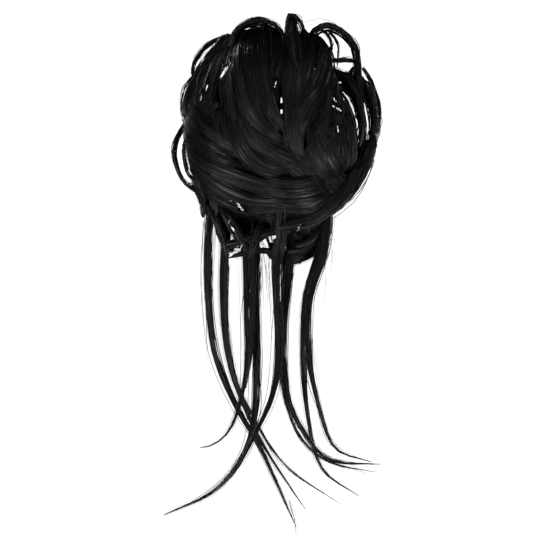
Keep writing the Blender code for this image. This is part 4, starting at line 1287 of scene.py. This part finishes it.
def dress(mesh, name, look, nodes, frizz_share=1.0, width_share=1.0):
    """Grows the strands of a hair mesh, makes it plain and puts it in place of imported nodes."""
    obj = mesh.to_object(name)
    group = shared(strand_tree, "grow_strands")
    hair = shared(hair_material, "black_hair", tuple(look.hair_colour), look.hair_roughness)
    modifier = obj.modifiers.new("strands", "NODES")
    modifier.node_group = group
    values = {
        "Strand radius": look.strand_width * width_share / 2.0,
        "Frizz": look.frizz * frizz_share,
        "Frizz pitch": look.frizz_pitch,
        "Spread": look.spread,
        "Seed": look.seed,
        "Hair": hair,
    }
    for socket in group.interface.items_tree:
        if socket.name in values:
            modifier[socket.identifier] = values[socket.name]
    graph = bpy.context.evaluated_depsgraph_get()
    plain = bpy.data.meshes.new_from_object(obj.evaluated_get(graph))
    plain.name = name
    guide_mesh = obj.data
    obj.modifiers.clear()
    obj.data = plain
    bpy.data.meshes.remove(guide_mesh)
    if not plain.polygons:
        raise RuntimeError(f"{name} came out empty")
    comb_partings(plain)
    clear_layers(plain)
    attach(obj, "root")
    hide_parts(*nodes)


class HairLook(bpy.types.PropertyGroup):
    """The hair's sizes, colour and looseness."""

    hair_colour: bpy.props.FloatVectorProperty(
        name="Hair colour", description="Colour of a strand, before its gloss", subtype="COLOR",
        size=3, min=0.0, max=1.0, default=(0.0028, 0.0028, 0.0031),
    )
    hair_roughness: bpy.props.FloatProperty(
        name="Hair roughness", description="How soft the gloss along the strands is",
        min=0.0, max=1.0, default=0.36, subtype="FACTOR",
    )
    strand_width: bpy.props.FloatProperty(
        name="Strand width", description="Width of one modelled strand",
        default=0.00050, unit="LENGTH", precision=5,
    )
    strand_share: bpy.props.FloatProperty(
        name="Strand count", description="Share of the full number of strands",
        min=0.1, max=2.0, default=1.0, subtype="FACTOR",
    )
    frizz: bpy.props.FloatProperty(
        name="Frizz", description="How far a strand strays from its lock", default=0.0010,
        unit="LENGTH", precision=5,
    )
    frizz_pitch: bpy.props.FloatProperty(
        name="Frizz pitch", description="Waves of frizz along a strand", default=3.0,
    )
    spread: bpy.props.FloatProperty(
        name="Spread", default=1.08, subtype="FACTOR",
        description="Outer reach of the strands, as a share of the lock's half width",
    )
    seed: bpy.props.IntProperty(
        name="Seed", description="Start of every random choice in the hair", default=7,
    )


class BandLook(bpy.types.PropertyGroup):
    """The covered elastic's thread."""

    band_colour: bpy.props.FloatVectorProperty(
        name="Elastic colour", description="Colour of the elastic's covering thread",
        subtype="COLOR", size=3, min=0.0, max=1.0, default=(0.010, 0.010, 0.010),
    )
    rib_count: bpy.props.IntProperty(
        name="Ribs", description="Turns of covering thread round the band", default=180, min=12,
    )
    rib_depth: bpy.props.FloatProperty(
        name="Rib depth", description="How deep the grooves between the turns are", default=0.00022,
        unit="LENGTH", precision=5,
    )


class StageLook(bpy.types.PropertyGroup):
    """The floor, the lights and the camera."""

    floor_colour: bpy.props.FloatVectorProperty(
        name="Floor colour", description="Colour of the pale floor and wall", subtype="COLOR",
        size=3, min=0.0, max=1.0, default=(1.0, 1.0, 1.0),
    )
    floor_height: bpy.props.FloatProperty(
        name="Floor height", description="Height of the floor, below the lowest tip",
        default=-0.95, unit="LENGTH",
    )
    fill: bpy.props.FloatProperty(
        name="Fill", description="Strength of the even light from all round", default=0.035,
    )
    key_power: bpy.props.FloatProperty(
        name="Key power", description="Power of each soft light in watts", default=17.0,
    )
    lens: bpy.props.FloatProperty(
        name="Lens", description="Focal length of the camera in millimetres", default=LENS,
    )


def gather(name, locks, look):
    """A group of the dome's locks as one piece."""
    mesh = HairMesh(look.seed)
    for lock in locks:
        strands = LOCK_STRANDS * lock.width * look.strand_share
        split_lock(mesh, lock_guide(lock, strands), max(1, round(DOME_HANKS * lock.width)))
    dress(mesh, name, look, ["bun"])


class HAIRPIECE_OT_core(bpy.types.Operator):
    """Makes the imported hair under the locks, with the hollow for the wearer's own hair"""

    bl_idname = "hairpiece.make_core"
    bl_label = "Packed hair"

    def execute(self, context):
        make_core(context.scene.hair_look)
        return {"FINISHED"}


class HAIRPIECE_OT_front(bpy.types.Operator):
    """Makes the locks that lie on the front and the sides of the bun"""

    bl_idname = "hairpiece.make_front_locks"
    bl_label = "Front locks"

    def execute(self, context):
        look = context.scene.hair_look
        for name, locks in DOME_GROUPS.items():
            gather(name, locks, look)
        for name, locks in (("rim_locks", RIM_LOCKS), ("nape_locks", NAPE_LOCKS)):
            mesh = HairMesh(look.seed + RIM_SEED)
            for lock in locks:
                share = mix(*RIM_STRANDS, min(lock.depth, RIM_FULL_DEPTH))
                strands = LOCK_STRANDS * share * look.strand_share
                hanks = max(1, round(RIM_HANKS * lock.width * lock.depth))
                split_lock(mesh, rim_guide(lock, strands), hanks, crown=0.0, thickness=0.85)
            dress(mesh, name, look, ["bun"], frizz_share=1.6)
        return {"FINISHED"}


class HAIRPIECE_OT_back(bpy.types.Operator):
    """Makes the locks that radiate from the band over the back of the bun"""

    bl_idname = "hairpiece.make_back_locks"
    bl_label = "Back locks"

    def execute(self, context):
        look = context.scene.hair_look
        mesh = HairMesh(look.seed + BACK_SEED)
        strands = BACK_LOCK_STRANDS * look.strand_share
        for index in range(BACK_LOCKS):
            split_lock(mesh, back_guide(index, strands), BACK_HANKS)
        dress(mesh, "back_locks", look, ["bun"])
        return {"FINISHED"}


class HAIRPIECE_OT_loops(bpy.types.Operator):
    """Makes each loop that stands clear of the bun and each curl under it"""

    bl_idname = "hairpiece.make_loops"
    bl_label = "Loops and curls"

    def execute(self, context):
        look = context.scene.hair_look
        for index, loop in enumerate(LOOPS):
            mesh = HairMesh(look.seed + LOOP_SEED + index)
            strands = mix(*LOOP_STRANDS, loop.width) * look.strand_share
            split_lock(mesh, loop_guide(loop, strands), max(1, round(LOOP_HANKS * loop.width)))
            dress(mesh, "hair_" + loop.name, look, [loop.name], frizz_share=1.3)
        return {"FINISHED"}


class HAIRPIECE_OT_tendrils(bpy.types.Operator):
    """Makes each hanging tendril"""

    bl_idname = "hairpiece.make_tendrils"
    bl_label = "Tendrils"

    def execute(self, context):
        look = context.scene.hair_look
        for index, tendril in enumerate(TENDRILS):
            mesh = HairMesh(look.seed + TENDRIL_SEED + index)
            strands = mix(*TENDRIL_STRANDS, tendril.width) * look.strand_share
            guide = tendril_guide(tendril, strands)
            mesh.add_body(guide, fullness=0.7)
            mesh.add_guide(guide)
            dress(mesh, "hair_" + tendril.name, look, [tendril.name], frizz_share=1.5)
        return {"FINISHED"}


def flyaway_guide(flyaway):
    """A few single hairs that run together."""
    y = -flyaway.forward * BUN_FRONT
    stations = [
        seen_at(across * BUN_HALF_WIDTH, up * BUN_HALF_WIDTH, y)
        for across, up in (flyaway.start, flyaway.middle, flyaway.end)
    ]
    points = smooth_path(stations, GUIDE_POINTS)
    half_sizes = [flyaway.spread * mix(0.3, 1.0, share) for share in shares(GUIDE_POINTS)]
    outs = [Vector((0.0, -1.0, 0.0))] * GUIDE_POINTS
    return Guide(
        points, outs, half_sizes, half_sizes, flyaway.hairs, wrap=1.0, ragged=0.6, stray=0.6
    )


class HAIRPIECE_OT_flyaways(bpy.types.Operator):
    """Makes the single hairs that fly clear, and the loose ones round tendrils, rim and loops"""

    bl_idname = "hairpiece.make_flyaways"
    bl_label = "Flyaway hairs"

    def execute(self, context):
        look = context.scene.hair_look
        mesh = HairMesh(look.seed + FLYAWAY_SEED)
        for flyaway in FLYAWAYS:
            mesh.add_guide(flyaway_guide(flyaway))
        for tendril in TENDRILS:
            mesh.add_guide(tendril_guide(tendril, TENDRIL_HAIRS, TENDRIL_LOOSENESS))
        for lock in RIM_LOCKS:
            mesh.add_guide(rim_guide(lock, RIM_HAIRS, RIM_LOOSENESS))
        for loop in LOOPS:
            mesh.add_guide(loop_guide(loop, LOOP_HAIRS, LOOP_HAIR_STRAY))
        dress(mesh, "flyaway_hairs", look, ["bun"], frizz_share=1.1, width_share=0.25)
        return {"FINISHED"}


class HAIRPIECE_OT_band(bpy.types.Operator):
    """Makes the covered elastic band"""

    bl_idname = "hairpiece.make_band"
    bl_label = "Elastic band"

    def execute(self, context):
        make_band(context.scene.band_look)
        return {"FINISHED"}


class HAIRPIECE_OT_stage(bpy.types.Operator):
    """Makes the pale floor, the soft lights and the camera"""

    bl_idname = "hairpiece.make_stage"
    bl_label = "Stage"

    def execute(self, context):
        make_stage(context.scene.stage_look)
        return {"FINISHED"}


class HAIRPIECE_PT_panel(bpy.types.Panel):
    """Lists the hairpiece's settings and its makers"""

    bl_idname = "HAIRPIECE_PT_panel"
    bl_label = "Top knot hairpiece"
    bl_space_type = "VIEW_3D"
    bl_region_type = "UI"
    bl_category = "Hairpiece"

    def draw(self, context):
        for look in SETTINGS:
            settings = getattr(context.scene, look)
            box = self.layout.box()
            for name in settings.__annotations__:
                box.prop(settings, name)
        for operator in OPERATORS:
            self.layout.operator(operator.bl_idname)


def quarter_arc(start, end, steps):
    """Points from start to end on a quarter ellipse that leaves start square to the axis."""
    points = []
    for step in range(steps + 1):
        angle = math.pi / 2.0 * step / steps
        across = mix(start[0], end[0], math.sin(angle))
        points.append((across, mix(start[1], end[1], 1.0 - math.cos(angle))))
    return points


def core_profile():
    """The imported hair's outline, from its front pole round the rim to the hollow's pole."""
    rim = (CORE_RADIUS * CORE_SHARE, -RIM_PLANE)
    turn = (HOLLOW_RADIUS, -HOLLOW_DEPTH + HOLLOW_RADIUS / 2.0)
    front = quarter_arc((0.0, -CORE_FRONT), rim, CORE_FRONT_STEPS)
    lip = quarter_arc((HOLLOW_RADIUS + BAND_THICKNESS, BACK_FACE), rim, CORE_LIP_STEPS)
    wall = [(HOLLOW_RADIUS, mix(BACK_FACE, turn[1], rise)) for rise in shares(HOLLOW_WALL_RINGS)]
    floor = quarter_arc((0.0, -HOLLOW_DEPTH), turn, HOLLOW_FLOOR_STEPS)
    return [*front, *lip[-2::-1], *wall, *floor[-2::-1]]


def make_core(look):
    """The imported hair: a turned form whose surface is grooved from pole to rim."""
    mesh = HairMesh(look.seed + CORE_SEED)
    profile = core_profile()
    rings = []
    for number, (radius, y) in enumerate(profile[1:-1]):
        inner = HOLLOW_RADIUS * 1.02 >= radius and y > -HOLLOW_DEPTH - 0.001
        ring = []
        for corner in range(CORE_SIDES):
            angle = math.tau * corner / CORE_SIDES
            across, up = math.cos(angle), math.sin(angle)
            place = (across * CORE_GROOVES, up * CORE_GROOVES, number * CORE_GROOVE_PITCH)
            depth = 0.0 if inner else CORE_GROOVE_DEPTH * noise.noise(Vector(place))
            here = radius + depth
            flow = (CORE_STREAKS * across, CORE_STREAKS * up, number * CORE_STREAK_PITCH)
            ring.append(mesh.add_point(Vector((here * across, y, here * up)), flow))
        rings.append(ring)
    for low, high in zip(rings, rings[1:]):
        mesh.faces += ring_faces(low, high)
    for (_, y), ring in ((profile[0], rings[0]), (profile[-1], rings[-1][::-1])):
        pole = mesh.add_point(Vector((0.0, y, 0.0)), ZERO)
        for corner, following in zip(ring, [*ring[1:], ring[0]]):
            mesh.faces.append((pole, following, corner))
    dress(mesh, "packed_hair", look, ["bun"])


def make_band(look):
    """The elastic band, a ring wound with covering thread."""
    steps = look.rib_count * RIB_POINTS
    mesh = HairMesh(0)
    rings = []
    for step in range(steps):
        turn = math.tau * step / steps
        rings.append(range(len(mesh.points), len(mesh.points) + BAND_SIDES))
        for corner in range(BAND_SIDES):
            angle = math.tau * corner / BAND_SIDES
            rib = math.cos(turn * look.rib_count + angle)
            half = BAND_THICKNESS / 2.0 - look.rib_depth * (0.5 - 0.5 * rib)
            across, up = math.cos(angle), math.sin(angle)
            radius = BAND_RADIUS + half * across
            point = Vector((radius * math.cos(turn), half * up, radius * math.sin(turn)))
            mesh.add_point(point, (across * 3.0, up * 3.0, turn * 40.0))
    for low, high in zip(rings, [*rings[1:], rings[0]]):
        mesh.faces += ring_faces(low, high)
    obj = mesh.to_object("covered_elastic")
    clear_layers(obj.data)
    obj.data.materials.append(shared(elastic_material, "black_elastic", tuple(look.band_colour)))
    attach(obj, "root")
    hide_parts("elastic_band")


def make_floor(look):
    """A round pale floor that curves up into a wall all round."""
    flat = FLOOR_REACH - FLOOR_BEND
    profile = [(0.0, look.floor_height), (flat, look.floor_height)]
    for step in range(1, BEND_STEPS + 1):
        angle = math.pi / 2.0 * step / BEND_STEPS
        rise = FLOOR_BEND * (1.0 - math.cos(angle))
        profile.append((flat + FLOOR_BEND * math.sin(angle), look.floor_height + rise))
    profile.append((FLOOR_REACH, WALL_TOP))
    points = []
    faces = []
    rings = []
    for radius, height in profile:
        rings.append(range(len(points), len(points) + FLOOR_SIDES))
        for corner in range(FLOOR_SIDES):
            angle = math.tau * corner / FLOOR_SIDES
            points.append((radius * math.cos(angle), radius * math.sin(angle), height))
    for low, high in zip(rings, rings[1:]):
        faces += ring_faces(low, high)
    data = bpy.data.meshes.new("seamless_floor")
    data.from_pydata(points, [], faces)
    data.shade_smooth()
    data.materials.append(seamless_material(tuple(look.floor_colour)))
    floor = put_in("seamless_floor", data)
    floor.visible_diffuse = False
    floor.visible_glossy = False
    floor.visible_shadow = False


def add_light(name, place, aim, size, power):
    """A large square light, aimed at a point."""
    light = bpy.data.lights.new(name, "AREA")
    light.shape = "SQUARE"
    light.size = size
    light.energy = power
    obj = put_in(name, light)
    obj.location = place
    obj.rotation_euler = (Vector(aim) - Vector(place)).to_track_quat("-Z", "Y").to_euler()


def make_camera(look):
    """The camera, level with the middle of the photograph and square to the bun's front."""
    distance = IMAGE_SIDE * PIXEL * look.lens / SENSOR
    camera = bpy.data.cameras.new("camera")
    camera.lens = look.lens
    camera.sensor_width = SENSOR
    obj = put_in("camera", camera)
    obj.location = (VIEW_ACROSS, -RIM_PLANE - distance, VIEW_UP)
    obj.rotation_euler = (math.pi / 2.0, 0.0, 0.0)
    bpy.context.scene.camera = obj


def make_stage(look):
    """Floor, lights, world and camera."""
    scene = bpy.context.scene
    scene.view_settings.view_transform = "Standard"
    make_floor(look)
    world = bpy.data.worlds.new("even_light")
    world.use_nodes = True
    background = world.node_tree.nodes["Background"]
    background.inputs["Color"].default_value = (1.0, 1.0, 1.0, 1.0)
    background.inputs["Strength"].default_value = look.fill
    scene.world = world
    for light in LIGHTS:
        add_light(light.name, light.place, LIGHT_AIM, light.size, look.key_power * light.share)
    make_camera(look)


OPERATORS = (
    HAIRPIECE_OT_stage,
    HAIRPIECE_OT_band,
    HAIRPIECE_OT_core,
    HAIRPIECE_OT_front,
    HAIRPIECE_OT_back,
    HAIRPIECE_OT_loops,
    HAIRPIECE_OT_tendrils,
    HAIRPIECE_OT_flyaways,
)
SETTINGS = {"hair_look": HairLook, "band_look": BandLook, "stage_look": StageLook}


def register():
    """Makes the settings, operators and panel known to Blender."""
    for name, settings in SETTINGS.items():
        bpy.utils.register_class(settings)
        setattr(bpy.types.Scene, name, bpy.props.PointerProperty(type=settings))
    for operator in OPERATORS:
        bpy.utils.register_class(operator)
    bpy.utils.register_class(HAIRPIECE_PT_panel)


def unregister():
    """Takes them away again."""
    bpy.utils.unregister_class(HAIRPIECE_PT_panel)
    for operator in reversed(OPERATORS):
        bpy.utils.unregister_class(operator)
    for name, settings in SETTINGS.items():
        delattr(bpy.types.Scene, name)
        bpy.utils.unregister_class(settings)


def main():
    """Registers the add-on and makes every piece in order."""
    register()
    bpy.ops.hairpiece.make_stage()
    bpy.ops.hairpiece.make_band()
    bpy.ops.hairpiece.make_core()
    bpy.ops.hairpiece.make_front_locks()
    bpy.ops.hairpiece.make_back_locks()
    bpy.ops.hairpiece.make_loops()
    bpy.ops.hairpiece.make_tendrils()
    bpy.ops.hairpiece.make_flyaways()


if __name__ == "__main__":
    main()
